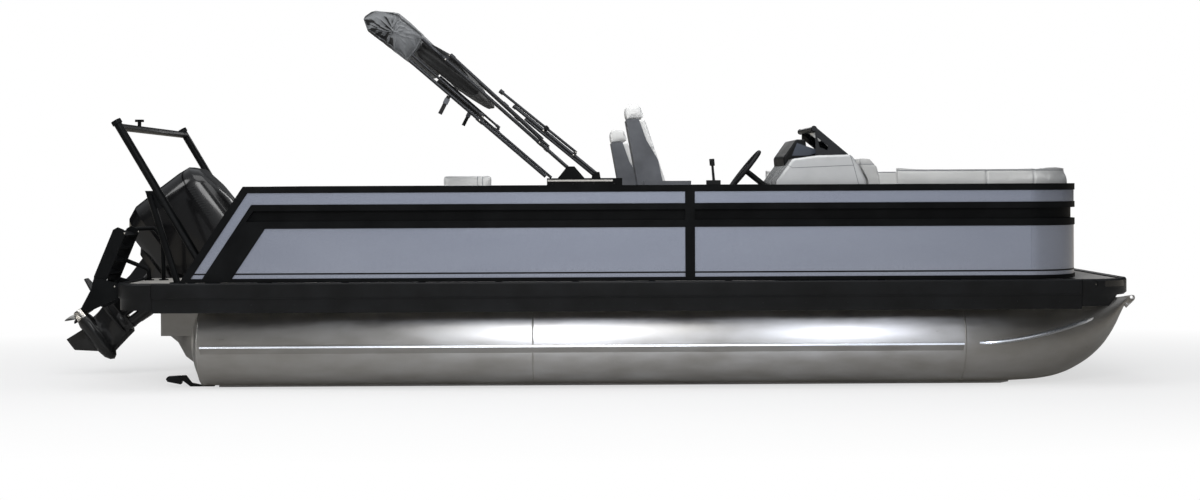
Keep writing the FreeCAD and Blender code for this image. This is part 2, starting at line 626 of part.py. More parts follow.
def gate(name, aft, thick, low, high, axis_run, axis_side):
    """A gate leaf in one piece: frame bars round a thinner sheet, bored for its hinge pins."""
    leaf = new_body(name)
    pad(leaf, "YZ", [rectangle(low, "fence_low + lug_high + 0.3", high, "fence_top - lug_high - 0.3"),
                     rectangle(f"{low} + 45", f"{BELT} + 0", f"{high} - 45", f"{INSET} + 0"),
                     rectangle(f"{low} + 45", f"{SILL} + 12", f"{high} - 45", f"{BELT} - 40")],
        aft, thick)
    pad(leaf, "YZ", [rectangle(f"{low} + 45", f"{BELT} + 0", f"{high} - 45", f"{INSET} + 0"),
                     rectangle(f"{low} + 45", f"{SILL} + 12", f"{high} - 45", f"{BELT} - 40")],
        f"{aft} + ({thick}) / 4", f"({thick}) / 2")
    bore = rod(name + "_bore", "gate_pin + 0.1", "fence_top", (axis_run, axis_side, "fence_low"), (0, 0, 1), 0)
    node(name, less(name, leaf, bore))


gate("gate_bow", "fence_fore - fence_thick", "gate_thick", "-gate_half", "gate_half",
     "fence_fore - fence_thick + gate_axis_in", "gate_axis_in - gate_half")
gate("gate_stern", "wall_aft + wall_thick - gate_thick", "gate_thick", "stern_gate_low + gate_gap",
     "stern_gate_low + stern_gate_wide - gate_gap", "wall_aft + wall_thick - gate_axis_in",
     "stern_gate_low + gate_gap + gate_axis_in")

stern_wall = new_body("stern_wall")
INNER = "(fence_face - fence_thick)"
pad(stern_wall, "YZ", [
    [(f"-{INNER}", "deck_top"), ("stern_gate_low", "deck_top"), ("stern_gate_low", "fence_top"),
     (f"-{INNER}", "fence_top")],
    [("stern_gate_low + stern_gate_wide", "deck_top"), (INNER, "deck_top"), (INNER, "fence_top"),
     ("stern_gate_low + stern_gate_wide", "fence_top")]], "wall_aft", "wall_thick")
lugs = gate_lugs(size.wall_aft + size.wall_thick - size.gate_axis_in,
                 size.stern_gate_low + size.gate_gap + size.gate_axis_in, size.stern_gate_low)
node("stern_wall", joined("stern_wall", [stern_wall] + [made(f"stern_lug_{count}", lug)
                                                        for count, lug in enumerate(lugs)]))

# --- tow arch and grab rails ----------------------------------------------------------------------
post = pipe([vec(size.arch_top_run, size.arch_half, size.arch_top),
             vec(size.arch_foot_run, size.arch_half, size.deck_top)], size.arch_radius)
brace = pipe([vec(size.brace_top_run, size.arch_half, size.brace_top),
              vec(size.brace_foot_run, size.arch_half, size.deck_top)], size.arch_radius * 0.8)
gusset = plate([(size.brace_top_run - 34, size.brace_top + 34), (size.brace_top_run + 84, size.brace_top + 34),
                (size.brace_top_run + 150, size.brace_top - 96), (size.brace_top_run + 10, size.brace_top - 96)],
               size.arch_half - 6, size.arch_half + 6)
feet = [disc(vec(run, size.arch_half, size.deck_top), vec(0, 0, 1), size.flange_radius, size.flange_high)
        for run in (size.arch_foot_run, size.brace_foot_run)]
cap = disc(vec(size.arch_top_run - 6, size.arch_half, size.arch_top + 10), vec(0.506, 0, -0.862),
           size.arch_radius + 8, 30)
floor_cut = Part.makeBox(2000, 4000, 200, vec(-4200, -2000, size.deck_top - 200))
side_frame = post.multiFuse([brace, gusset, cap] + feet).cut(floor_cut)
crossbar = pipe([vec(size.bar_run, -size.arch_half, size.bar_level),
                 vec(size.bar_run, size.arch_half, size.bar_level)], size.arch_radius * 0.9)
knob_stem = disc(vec(size.bar_run, size.knob_side, size.bar_level), vec(0, 0, 1), 14, 68)
knob_head = disc(vec(size.bar_run, size.knob_side, size.bar_level + 58), vec(0, 0, 1), 34, 18)
arch = crossbar.multiFuse([side_frame, mirrored(side_frame), knob_stem, knob_head]).removeSplitter()
node("tow_arch", made("tow_arch", arch))

GRAB = ((-3330, 0), (-3338, 320), (-3400, 400), (-3560, 392), (-3640, 290), (-3630, 160), (-3446, 84),
        (-3440, 0))
grab = pipe([vec(run, size.grab_half, size.deck_top + rise) for run, rise in GRAB], size.grab_radius, 34)
grab_feet = [disc(vec(GRAB[end][0], size.grab_half, size.deck_top), vec(0, 0, 1), 36, 8) for end in (0, -1)]
grab_side = grab.multiFuse(grab_feet).cut(floor_cut).removeSplitter()
node("grab_rails", made("grab_rails", both_sides(grab_side)))

# --- ladder: it leans on its bracket behind the platform and swings down aft ------------------------
lean = math.radians(size.ladder_lean)
ALONG = vec(math.sin(lean), 0, math.cos(lean))
ASIDE = vec(math.cos(lean), 0, -math.sin(lean))


def ladder_outline(stations):
    """(X, Z) points from (aside, along) measures at the ladder's hinge."""
    hinge = vec(size.ladder_run, 0, size.ladder_level)
    places = [hinge + ASIDE * aside + ALONG * along for aside, along in stations]
    return [(place.x, place.z) for place in places]


wide = size.ladder_wide / 2
low_side = size.ladder_side - size.ladder_half
high_side = size.ladder_side + size.ladder_half
stringer = ladder_outline([(-wide * 0.6, -30), (wide * 0.6, -30), (wide, 40), (wide, size.ladder_long - 30),
                           (wide * 0.5, size.ladder_long), (-wide * 0.5, size.ladder_long),
                           (-wide, size.ladder_long - 30), (-wide, 40)])
ladder = plate(stringer, low_side, low_side + size.ladder_plate)
ladder = ladder.fuse(plate(stringer, high_side - size.ladder_plate, high_side))
for count in range(int(size.tread_count)):
    along = 80 + count * (size.ladder_long - 130) / (size.tread_count - 1)
    tread = ladder_outline([(-wide + 6, along - 9), (wide - 6, along - 9), (wide - 6, along + 9),
                            (-wide + 6, along + 9)])
    ladder = ladder.fuse(plate(tread, low_side + 1, high_side - 1))
hinge_bore = disc(vec(size.ladder_run, low_side - 60, size.ladder_level), vec(0, 1, 0),
                  size.ladder_pin + 0.1, 2 * size.ladder_half + 120)
node("ladder", made("ladder", ladder.cut(hinge_bore).removeSplitter()))
bracket_side = [(size.deck_aft, size.trim_low + 6), (size.deck_aft, size.trim_top - 16),
                (size.ladder_run + 30, size.ladder_level + 34), (size.ladder_run - 30, size.ladder_level + 30),
                (size.ladder_run - 46, size.ladder_level - 40), (size.ladder_run - 126, size.ladder_level - 190),
                (size.ladder_run - 60, size.ladder_level - 206)]
bracket = []
for side, sign in ((low_side, -1), (high_side, 1)):
    inner = side + sign * 5
    outer = inner + sign * 12
    bracket.append(plate(bracket_side, min(inner, outer), max(inner, outer)))
pin = disc(vec(size.ladder_run, low_side - 17, size.ladder_level), vec(0, 1, 0), size.ladder_pin,
           2 * size.ladder_half + 34)
node("ladder_bracket", made("ladder_bracket", bracket[0].multiFuse([bracket[1], pin]).removeSplitter()))

# --- outboard, built upright on its own axes and then tilted up as it is parked ----------------------
rest = math.radians(size.tilt_rest)
FORWARD = vec(math.cos(rest), 0, -math.sin(rest))
UPWARD = vec(math.sin(rest), 0, math.cos(rest))
MOTOR = FreeCAD.Placement(
    vec(size.tilt_run, 0, size.tilt_level) - FORWARD * size.tilt_ahead - UPWARD * size.tilt_above,
    FreeCAD.Rotation(vec(0, 1, 0), size.tilt_rest))

clamp_side = [(size.pod_aft, size.tilt_level - 200), (size.pod_aft - 26, size.tilt_level - 200),
              (size.tilt_run - 40, size.tilt_level - 50), (size.tilt_run - 40, size.tilt_level + 18),
              (size.tilt_run - 16, size.tilt_level + 38), (size.tilt_run + 26, size.tilt_level + 38),
              (size.tilt_run + 46, size.tilt_level + 10), (size.tilt_run + 46, size.pod_top),
              (size.pod_aft, size.pod_top)]
clamp = plate(clamp_side, size.clamp_half - size.clamp_plate, size.clamp_half)
tilt_bore = disc(vec(size.tilt_run, 0, size.tilt_level), vec(0, 1, 0), size.tilt_pin + 0.1, 300)
node("clamp_bracket", made("clamp_bracket", both_sides(clamp.cut(tilt_bore))))

pivot = vec(size.tilt_ahead, 0, size.tilt_above)
swivel_post = disc(vec(size.steer_ahead, 0, size.yoke_low + size.yoke_thick + size.seat_gap), vec(0, 0, 1),
                   size.swivel_radius, size.yoke_top - size.yoke_low - size.yoke_thick - 2 * size.seat_gap)
swivel_head = plate([(size.steer_ahead, size.tilt_above - 48), (size.tilt_ahead + 2, size.tilt_above - 44),
                     (size.tilt_ahead + 24, size.tilt_above - 14), (size.tilt_ahead + 20, size.tilt_above + 22),
                     (size.steer_ahead, size.yoke_top - 6)], -size.swivel_half, size.swivel_half)
swivel_ram = plate([(size.steer_ahead, 330), (size.steer_ahead + 46, 350), (size.steer_ahead + 52, 440),
                    (size.steer_ahead + 40, 540), (size.steer_ahead, 560)], -34, 34)
tilt_tube = disc(pivot + vec(0, -size.clamp_half - 8, 0), vec(0, 1, 0), size.tilt_pin, 2 * size.clamp_half + 16)
swivel = swivel_post.multiFuse([swivel_head, swivel_ram, tilt_tube]).removeSplitter()
node("swivel_bracket", made("swivel_bracket", swivel, MOTOR))

torpedo = ((size.gear_nose, 0), (size.gear_nose - 18, 30), (size.gear_nose - 58, 54),
           (size.gear_nose - 120, size.gear_radius), (-120, size.gear_radius), (size.gear_aft, 56),
           (size.gear_aft, 0))
gear = Part.Face(Part.makePolygon([vec(x, 0, radius) for x, radius in torpedo + torpedo[:1]]))
gear = gear.revolve(vec(0, 0, 0), vec(1, 0, 0), 360)


def foil(level, nose, tail, half, noses=24):
    """A level section of the leg: a blunt nose, full sides and a fine tail."""
    shape = [vec(nose, 0, level), vec(nose - noses, half * 0.7, level), vec(nose - noses * 3.4, half, level),
             vec((nose + tail) / 2 - 20, half, level), vec(tail, 5, level)]
    return Part.makePolygon(shape + [vec(p.x, -p.y, p.z) for p in reversed(shape[1:])] + shape[:1])


strut = Part.makeLoft([foil(30, 205, -118, 44), foil(120, 190, -128, 34), foil(size.plate_level, 176, -150, 46),
                       foil(size.yoke_low, 168, -150, 58)], True, True)
skeg = Part.makeLoft([foil(-40, 145, -92, 9, 10), foil(-212, 0, -108, 5, 8)], True, True)
vent = [vec(176, 0, 0), vec(110, 70, 0), vec(-60, 108, 0), vec(-300, 100, 0), vec(size.plate_aft, 46, 0)]
vent = Part.Face(Part.makePolygon(vent + [vec(p.x, -p.y, 0) for p in reversed(vent[1:])] + vent[:1]))
vent = vent.extrude(vec(0, 0, 12))
vent.translate(vec(0, 0, size.plate_level - 6))
lower_yoke = plate([(size.steer_ahead + 44, size.yoke_low), (size.steer_ahead + 44, size.yoke_low + size.yoke_thick),
                    (-100, size.yoke_low + size.yoke_thick), (-150, size.yoke_low)], -52, 52)
upper_yoke = plate([(size.steer_ahead + 40, size.yoke_top), (size.steer_ahead + 40, size.yoke_top + size.yoke_thick),
                    (-60, size.yoke_top + size.yoke_thick), (-60, size.yoke_top)], -48, 48)
middle = Part.makeLoft([foil(size.yoke_low + 10, size.steer_ahead - size.swivel_radius - 12, -190, 62, 6),
                        foil(500, size.steer_ahead - size.swivel_radius - 12, -210, 66, 6),
                        foil(size.yoke_top + 20, size.steer_ahead - size.swivel_radius - 12, -260, 84, 6)],
                       True, True)
collar = Part.makeLoft([foil(size.yoke_top + 14, 130, -290, 92, 12), foil(size.leg_top, 150, -380, 130, 12)],
                       True, True)
leg = gear.multiFuse([strut, skeg, vent, lower_yoke, upper_yoke, middle, collar]).removeSplitter()
node("motor_leg", made("motor_leg", leg, MOTOR))

# cowl levels: height up the leg, front and aft edge, half width
COWL = ((745, 190, -500, 190), (800, 222, -560, 238), (898, 232, -602, 260), (898.3, 232, -602, 260),
        (1100, 235, -606, 264), (1330, 230, -605, 262), (1420, 212, -596, 248), (1480, 165, -532, 222),
        (1511, 80, -390, 170), (1528, -40, -225, 90))


def cowl_ring(level, nose, tail, half, inset=0.0):
    """A level ring of the cowl: sides and ends joined by arcs."""
    front = nose - inset
    back = tail + inset
    side = half - inset
    bend = side * 0.62
    turn = bend * (1 - math.sqrt(0.5))
    edges = []
    for sign in (1, -1):
        a = vec(back, sign * (side - bend), level)
        b = vec(back + turn, sign * (side - turn), level)
        c = vec(back + bend, sign * side, level)
        d = vec(front - bend, sign * side, level)
        e = vec(front - turn, sign * (side - turn), level)
        f = vec(front, sign * (side - bend), level)
        edges += [Part.Arc(a, b, c), Part.LineSegment(c, d), Part.Arc(d, e, f)]
        edges.append(Part.LineSegment(f, vec(front, 0, level)))
        edges.append(Part.LineSegment(vec(back, 0, level), a))
    return Part.Wire(Part.__sortEdges__([edge.toShape() for edge in edges]))


lower_cowl = Part.makeLoft([cowl_ring(*station) for station in COWL[:3]], True, True)
node("lower_cowl", made("lower_cowl", lower_cowl, MOTOR))
outer_cowl = Part.makeLoft([cowl_ring(*station) for station in COWL[3:]], True, True)
inner_levels = [(level - (0 if count == 0 else size.cowl_wall), nose, tail, half)
                for count, (level, nose, tail, half) in enumerate(COWL[3:])]
inner_cowl = Part.makeLoft([cowl_ring(*station, size.cowl_wall) for station in inner_levels], True, True)
node("cowl", made("cowl", outer_cowl.cut(inner_cowl), MOTOR))
engine = box("powerhead", ("-480", "-engine_half", "cowl_split"), ("120", "engine_half", "engine_top"))
engine.setExpression(".Placement.Base.x", None)
engine.setExpression(".Placement.Base.y", None)
engine.setExpression(".Placement.Base.z", None)
engine.Placement = MOTOR.multiply(FreeCAD.Placement(vec(-480, -size.engine_half, size.cowl_split),
                                                    FreeCAD.Rotation()))
node("powerhead", engine)


def blade(turn):
    """One propeller blade: thin sections that untwist and sweep back towards the tip."""
    sections = []
    for share, chord, pitch, sweep in ((0.2, 62, 62, 0), (0.45, 92, 44, 6), (0.72, 96, 32, 10), (0.92, 66, 26, 14),
                                       (1.0, 22, 24, 20)):
        radius = size.prop_radius * share
        angle = math.radians(pitch)
        along = vec(math.sin(angle), math.cos(angle), 0)
        across_it = vec(math.cos(angle), -math.sin(angle), 0)
        centre = vec(-198 - sweep * 0.4, sweep, radius)
        thick = 9 - 6 * share
        sections.append(Part.makePolygon([centre + along * chord * 0.5, centre + across_it * thick * 0.5,
                                          centre - along * chord * 0.5, centre - across_it * thick * 0.5,
                                          centre + along * chord * 0.5]))
    piece = Part.makeLoft(sections, True, True)
    piece.rotate(vec(0, 0, 0), vec(1, 0, 0), turn)
    return piece


hub = ((size.gear_aft - size.seat_gap, 0), (size.gear_aft - size.seat_gap, 54), (size.gear_aft - 20, size.prop_hub),
       (size.prop_aft + 8, size.prop_hub - 4), (size.prop_aft, 40), (size.prop_aft, 0))
hub = Part.Face(Part.makePolygon([vec(x, 0, radius) for x, radius in hub + hub[:1]]))
hub = hub.revolve(vec(0, 0, 0), vec(1, 0, 0), 360)
node("propeller", made("propeller", hub.multiFuse([blade(turn) for turn in (0, 120, 240)]), MOTOR))

# --- folded top: bows lean aft on their hinge plates, with the canvas in its boot --------------------
tracks = []
for low, high in (("-fence_face", "fence_thick - fence_face"), ("fence_face - fence_thick", "fence_face")):
    tracks.append(box("track", ("track_aft", low, "fence_top"), ("track_fore", high, "fence_top + track_high")))
track_top = size.fence_top + size.track_high
hinge_side = [(size.top_run - 100, track_top), (size.top_run - 30, size.top_level + 32),
              (size.top_run + 22, size.top_level + 32), (size.top_run + 96, track_top)]
hinge_plates = []
for inner in (size.bow_half - size.bow_radius - 10, size.bow_half + size.bow_radius + 2):
    hinge_plates.append(plate(hinge_side, inner, inner + 8))
hinge_pin = disc(vec(size.top_run, size.bow_half - size.bow_radius - 12, size.top_level), vec(0, 1, 0),
                 size.top_pin, 2 * size.bow_radius + 24)
strut_ears = [plate([(size.strut_run - 26, track_top), (size.strut_run - 18, size.strut_level + 16),
                     (size.strut_run + 18, size.strut_level + 16), (size.strut_run + 26, track_top)],
                    inner, inner + 8) for inner in (size.bow_half - size.bow_radius - 10,
                                                    size.bow_half + size.bow_radius + 2)]
strut_pin = disc(vec(size.strut_run, size.bow_half - size.bow_radius - 12, size.strut_level), vec(0, 1, 0),
                 size.top_pin, 2 * size.bow_radius + 24)
hinges = hinge_plates[0].multiFuse(hinge_plates[1:] + [hinge_pin])
feet_of_strut = strut_ears[0].multiFuse(strut_ears[1:] + [strut_pin])
node("bimini_tracks", group("bimini_tracks", tracks + [made("hinges", both_sides(hinges)),
                                                       made("strut_feet", both_sides(feet_of_strut))]))

# (X, Z) ends of the bow legs on each side, top end first. The outer pair meets the boot's mouth and
# ends at the track and on the hinge; each inner one is held to an outer one by a fitting.
AFT_LEG = ((-1381.7, 2419.5), (-390, 1566))
MAIN_LEG = ((-1287.5, 2574.8), (size.top_run, size.top_level))
AFT_INNER = ((-1359.5, 2456.2), (-845, 2005.5))
MAIN_INNER = ((-1084, 2459), (-411.4, 1837))
BRACE = ((-621, 2083), (size.strut_run, size.strut_level))
BRACE_ROD = ((-723.5, 2196), (-163.7, 1740))


def leg_tube(ends, radius):
    return pipe([vec(run, size.bow_half, level) for run, level in ends], radius)


def ahead_of(ends):
    """The unit direction down a leg, towards its low end."""
    (top_x, top_z), (low_x, low_z) = ends
    return vec(low_x - top_x, 0, low_z - top_z).normalize()


def sleeve(ends, distance, long, radius):
    """A collar round a leg, so far down from its top end."""
    along = ahead_of(ends)
    middle = vec(ends[0][0], size.bow_half, ends[0][1]) + along * distance
    return disc(middle - along * (long / 2), along, radius, long)


def link(low, high, thick=12, wide=26):
    """A fitting's flat cheek between two legs, from a place on one to a place on the other."""
    along = vec(high[0] - low[0], 0, high[1] - low[1]).normalize()
    aside = vec(along.z, 0, -along.x) * (wide / 2)
    ends = [vec(low[0], 0, low[1]) + aside, vec(high[0], 0, high[1]) + aside,
            vec(high[0], 0, high[1]) - aside, vec(low[0], 0, low[1]) - aside]
    return plate([(place.x, place.z) for place in ends], size.bow_half - thick / 2, size.bow_half + thick / 2)


bore = disc(vec(size.top_run, 0, size.top_level), vec(0, 1, 0), size.top_pin + 0.1, 2000)
main_eye = disc(vec(size.top_run, size.bow_half - size.bow_radius, size.top_level), vec(0, 1, 0), 18,
                2 * size.bow_radius)
collar = size.bow_radius + 4
aft_bow = leg_tube(AFT_LEG, size.bow_radius).multiFuse([
    leg_tube(AFT_INNER, size.bow_radius * 0.8), link((-870.3, 1977.6), (-848, 2003)),
    sleeve(AFT_LEG, 677, 58, collar), sleeve(AFT_INNER, 668, 40, size.bow_radius + 1)])
main_bow = leg_tube(MAIN_LEG, size.bow_radius).multiFuse([
    main_eye, leg_tube(MAIN_INNER, size.bow_radius), link((-1116.8, 2422.7), (-1090, 2452)),
    link((-432.7, 1813.5), (-413, 1835)), sleeve(MAIN_LEG, 229, 56, collar), sleeve(MAIN_INNER, 24, 40, collar),
    sleeve(MAIN_INNER, 545, 50, collar), sleeve(MAIN_LEG, 1144, 44, collar)])
node("bimini_bows", made("bimini_bows", both_sides(Part.makeCompound([aft_bow, main_bow.cut(bore)]))))

BOOT = [(-1737, 2748), (-1671, 2785), (-1466, 2778), (-1275, 2600), (-1393, 2405.8), (-1708, 2653)]
CANVAS = [(-1286.9, 2580), (-1066, 2466), (-850, 2177), (-916, 2146), (-1092, 2256), (-1350.2, 2475.7)]
node("bimini_boot", made("bimini_boot", plate(BOOT, -size.boot_half, size.boot_half)))
node("bimini_canvas", made("bimini_canvas", plate(CANVAS, -size.canvas_half, size.canvas_half)))
strut_eye = disc(vec(size.strut_run, size.bow_half - size.bow_radius, size.strut_level), vec(0, 1, 0), 16,
                 2 * size.bow_radius)
strut_bore = disc(vec(size.strut_run, 0, size.strut_level), vec(0, 1, 0), size.top_pin + 0.1, 2000)
strut_tube = leg_tube(BRACE, size.bow_radius).multiFuse([
    strut_eye, leg_tube(BRACE_ROD, size.bow_radius * 0.8), sleeve(BRACE_ROD, 18, 34, collar),
    sleeve(BRACE_ROD, 440, 30, collar), link((-188, 1722), (-170, 1742)), link((-404, 1901), (-376, 1922))])
node("bimini_strut", made("bimini_strut", both_sides(strut_tube.cut(strut_bore))))

# --- helm ------------------------------------------------------------------------------------------
console = new_body("helm_console")
console_side = [("console_aft", "deck_top"), ("console_aft", "1525"), ("console_aft + 120", "1690"),
                ("console_aft + 311", "1715"), ("console_aft + 551", "1720"), ("console_fore - 57", "1642"),
                ("console_fore", "1528"), ("console_fore", "deck_top")]
across(console, [console_side], "console_low", "console_high")
node("helm_console", console)
dash = new_body("helm_dash")
across(dash, [[("console_aft + 80", "1635.6"), ("console_aft + 120", "1690.5"), ("console_aft + 256", "1708.3"),
               ("console_aft + 240", "1835"), ("console_aft + 170", "1837"), ("console_aft + 74", "1702")]],
       "console_low + 190", "console_high - 60")
node("helm_dash", dash)
screen = new_body("windscreen")
pane = [("console_aft + 546", "1720"), ("console_aft + 528", "1720"), ("console_aft + 286", "1914"),
        ("console_aft + 300", "1927")]
cheek_pane = [("console_aft + 526", "1720"), ("console_aft + 311", "1715.1"), ("console_aft + 300", "1713.7"),
              ("console_aft + 300", "1904")]
cheek_gap = [("console_aft + 314", "1848"), ("console_aft + 396", "1782"), ("console_aft + 388", "1752"),
             ("console_aft + 330", "1776")]
across(screen, [pane], "console_low + 90", "console_high - 40")
across(screen, [cheek_pane, cheek_gap], "console_low + 90", "console_low + 98")
across(screen, [cheek_pane, cheek_gap], "console_high - 48", "console_high - 40")
screen_rail = rod("screen_rail", "screen_rail", "console_high - console_low - 130",
                  ("console_aft + 290", "console_high - 40", "1912"), (1, 0, 0))
node("windscreen", joined("windscreen", [screen, screen_rail]))

tilt = math.radians(size.wheel_lean)
WHEEL_AXIS = vec(-math.sin(tilt), 0, math.cos(tilt))
WHEEL_TURN = FreeCAD.Rotation(vec(0, 0, 1), WHEEL_AXIS)
hub_place = vec(size.wheel_run, size.wheel_side, size.wheel_level)
rim = Part.makeTorus(size.wheel_radius, size.wheel_tube)
hub = Part.makeCylinder(42, 34, vec(0, 0, -22))
spokes = []
for turn in (90, 180, 270):
    arm = Part.makeBox(size.wheel_radius - 30, 30, 9, vec(30, -15, -8))
    arm.rotate(vec(0, 0, 0), vec(0, 0, 1), turn)
    spokes.append(arm)
node("steering_wheel", made("steering_wheel", rim.multiFuse([hub] + spokes),
                            FreeCAD.Placement(hub_place, WHEEL_TURN)))
column_end = (size.console_aft - size.wheel_run) / math.sin(tilt)
column = Part.makeCylinder(size.column_radius, column_end + 60, vec(0, 0, -column_end - 60))
column = column.fuse(Part.makeCone(60, 40, 30, vec(0, 0, -column_end - 4)))
column = column.cut(Part.makeBox(200, 200, 400, vec(-100, -100, -22.3)))
column.Placement = FreeCAD.Placement(hub_place, WHEEL_TURN)
column = column.cut(Part.makeBox(600, 600, 900, vec(size.console_aft, size.wheel_side - 300, 900)))
node("steering_column", made("steering_column", column))
lever = plate([(size.lever_run - 8, size.fence_top + 33), (size.lever_run - 16, 1640), (size.lever_run + 2, 1640),
               (size.lever_run + 12, size.fence_top + 33)], 12 - size.fence_face, 24 - size.fence_face)
grip = plate([(size.lever_run - 26, 1640), (size.lever_run - 30, 1690), (size.lever_run + 6, 1692),
              (size.lever_run + 10, 1640)], 3 - size.fence_face, 33 - size.fence_face)
lever_box = Part.makeBox(104, 40, 33, vec(size.lever_run - 52, 2 - size.fence_face, size.fence_top))
node("throttle", made("throttle", lever_box.multiFuse([lever, grip]).removeSplitter()))

# --- chairs on their pedestals -----------------------------------------------------------------------
# (ahead of the swivel, level) outlines of the reclined back: the moulded shell, the wings that it
# folds forward beside the pad, the pad, and the headrest that caps them all
SHELL_BACK = [(-220, 1500), (-308.4, 1996), (-236.2, 1996), (-143, 1500), (-88, 1320), (-88, 1240), (-170, 1240)]
SHELL_WING = [(-170, 1241), (-220, 1500), (-308.4, 1996), (-214, 2006), (-157, 1843), (-68, 1692), (-30, 1510),
              (8, 1322), (8, 1241)]
PAD_BACK = [(-235.9, 1996), (-168, 2006), (-3, 1510), (40, 1322), (-87.7, 1320), (-142.7, 1500)]
HEADREST = [(-308.4, 1996.3), (-318, 2050), (-316, 2098), (-280, 2120), (-240, 2118), (-200, 2102), (-168, 2006.3),
            (-214, 2006.3)]


def chair(name, run, side, drop):
    def moved(outline):
        return [(run + ahead, level - drop) for ahead, level in outline]
    seat_level = size.pan_low + size.pan_thick
    pan = [(-170, size.pan_low), (250, size.pan_low), (270, seat_level), (-170, seat_level)]
    shell = plate(moved(pan), side - size.seat_half, side + size.seat_half)
    shell_half = size.seat_half - 15
    inner_half = shell_half - size.shell_wing - 0.3
    shell = shell.fuse(plate(moved(SHELL_BACK), side - shell_half, side + shell_half))
    for low in (side - shell_half, side + shell_half - size.shell_wing):
        shell = shell.fuse(plate(moved(SHELL_WING), low, low + size.shell_wing))
    arm_side = [(-173, 1478), (175, 1478), (178, 1532), (-173, 1532)]
    stay = [(-60, size.pan_low), (60, size.pan_low), (20, 1480), (-60, 1480)]
    arm_root = [(-190, 1440), (-120, 1440), (-120, 1532), (-190, 1532)]
    for sign in (-1, 1):
        inner = side + sign * (size.seat_half + 1)
        outer = side + sign * (size.seat_half + size.arm_wide)
        low, high = min(inner, outer), max(inner, outer)
        shell = shell.fuse(plate(moved(arm_side), low, high))
        near = side + sign * (size.seat_half - 20)
        far = side + sign * (size.seat_half + 18)
        shell = shell.fuse(plate(moved(stay), min(near, far), max(near, far)))
        shell = shell.fuse(plate(moved(arm_root), min(near, far), max(near, far)))
    seat = [(-87.7, seat_level), (272, seat_level), (285, seat_level + 50), (262, seat_level + size.seat_thick),
            (-87.7, seat_level + size.seat_thick)]
    back_pad = plate(moved(PAD_BACK), side - inner_half, side + inner_half)
    headrest = plate(moved(HEADREST), side - shell_half, side + shell_half)
    cushions = [plate(moved(seat), side - inner_half, side + inner_half),
                back_pad.fuse(headrest).removeSplitter()]
    node(f"chair_{name}_shell", made(f"chair_{name}_shell", shell.removeSplitter()))
    node(f"chair_{name}_cushions", made(f"chair_{name}_cushions", Part.makeCompound(cushions)))
    stem = Part.makeCylinder(size.pedestal_radius, size.pan_low - drop - size.deck_top - 0.3,
                             vec(run, side, size.deck_top))
    stand = Part.makeCylinder(size.base_radius, 14, vec(run, side, size.deck_top))
    cone = Part.makeCone(110, size.pedestal_radius, 60, vec(run, side, size.deck_top + 14))
    return stem.multiFuse([stand, cone])


stands = [chair("starboard", size.chair_run, size.chair_side, 0),
          chair("port", size.mate_run, size.mate_side, size.mate_drop)]
node("chair_pedestals", made("chair_pedestals", Part.makeCompound(stands)))

# --- lounges -----------------------------------------------------------------------------------------
PAD_TOP = "(lounge_top + pad_thick)"


def lounge_plan(aft, outer, inner, low, high, aisle):
    """A port-side lounge level between two insets from the fence, with its rounded fore corner."""
    run = size.fence_fore - size.fence_corner
    side = size.fence_face - size.fence_corner
    radius = size.fence_corner - size.fence_thick - outer
    turn = math.sqrt(0.5)
    edges = [Part.LineSegment(vec(aft, side + radius, low), vec(run, side + radius, low)),
             Part.Arc(vec(run, side + radius, low), vec(run + radius * turn, side + radius * turn, low),
                      vec(run + radius, side, low)),
             Part.LineSegment(vec(run + radius, side, low), vec(run + radius, aisle, low))]
    if inner is None:
        edges += [Part.LineSegment(vec(run + radius, aisle, low), vec(aft, aisle, low)),
                  Part.LineSegment(vec(aft, aisle, low), vec(aft, side + radius, low))]
    else:
        small = size.fence_corner - size.fence_thick - inner
        edges += [Part.LineSegment(vec(run + radius, aisle, low), vec(run + small, aisle, low)),
                  Part.LineSegment(vec(run + small, aisle, low), vec(run + small, side, low)),
                  Part.Arc(vec(run + small, side, low), vec(run + small * turn, side + small * turn, low),
                           vec(run, side + small, low)),
                  Part.LineSegment(vec(run, side + small, low), vec(aft, side + small, low)),
                  Part.LineSegment(vec(aft, side + small, low), vec(aft, side + radius, low))]
    return Part.Face(Part.Wire([edge.toShape() for edge in edges])).extrude(vec(0, 0, high - low))


gap = size.lounge_gap
pad_top = size.lounge_top + size.pad_thick
inner_gap = gap + size.back_thick
bases = [mirrored(lounge_plan(size.console_fore + 2, gap, None, size.deck_top, size.lounge_top, size.aisle_half)),
         lounge_plan(size.mate_lounge_aft, gap, None, size.deck_top, size.lounge_top, size.aisle_half)]
seats = [mirrored(lounge_plan(size.lounge_aft, inner_gap + 0.3, None, size.lounge_top, pad_top, size.aisle_half)),
         lounge_plan(size.mate_lounge_aft, inner_gap + 0.3, None, size.lounge_top, pad_top, size.aisle_half)]
backs = [mirrored(lounge_plan(size.lounge_aft, gap, inner_gap, size.lounge_top, size.back_top, size.aisle_half)),
         lounge_plan(size.mate_lounge_aft, gap, inner_gap, size.lounge_top, size.back_top, size.aisle_half)]
rest_side = [(size.console_fore + 2, size.lounge_top), (size.console_fore + 2, 1528),
             (size.console_fore - 55, 1644), (size.console_fore - 76, 1722), (size.console_fore + 25, 1718),
             (size.console_fore + 90, 1642), (size.lounge_aft - 0.3, size.lounge_top)]
backs.append(plate(rest_side, size.console_low, -size.aisle_half))
stern = size.stern_lounge_aft
port_face = size.fence_face - size.fence_thick - gap
bases.append(Part.makeBox(size.stern_lounge_fore - stern, port_face - size.stern_aisle,
                          size.lounge_top - size.deck_top, vec(stern, size.stern_aisle, size.deck_top))
             .fuse(Part.makeBox(size.port_lounge_fore - stern, port_face - size.port_seat_in,
                                size.lounge_top - size.deck_top, vec(stern, size.port_seat_in, size.deck_top)))
             .removeSplitter())
back = size.back_thick
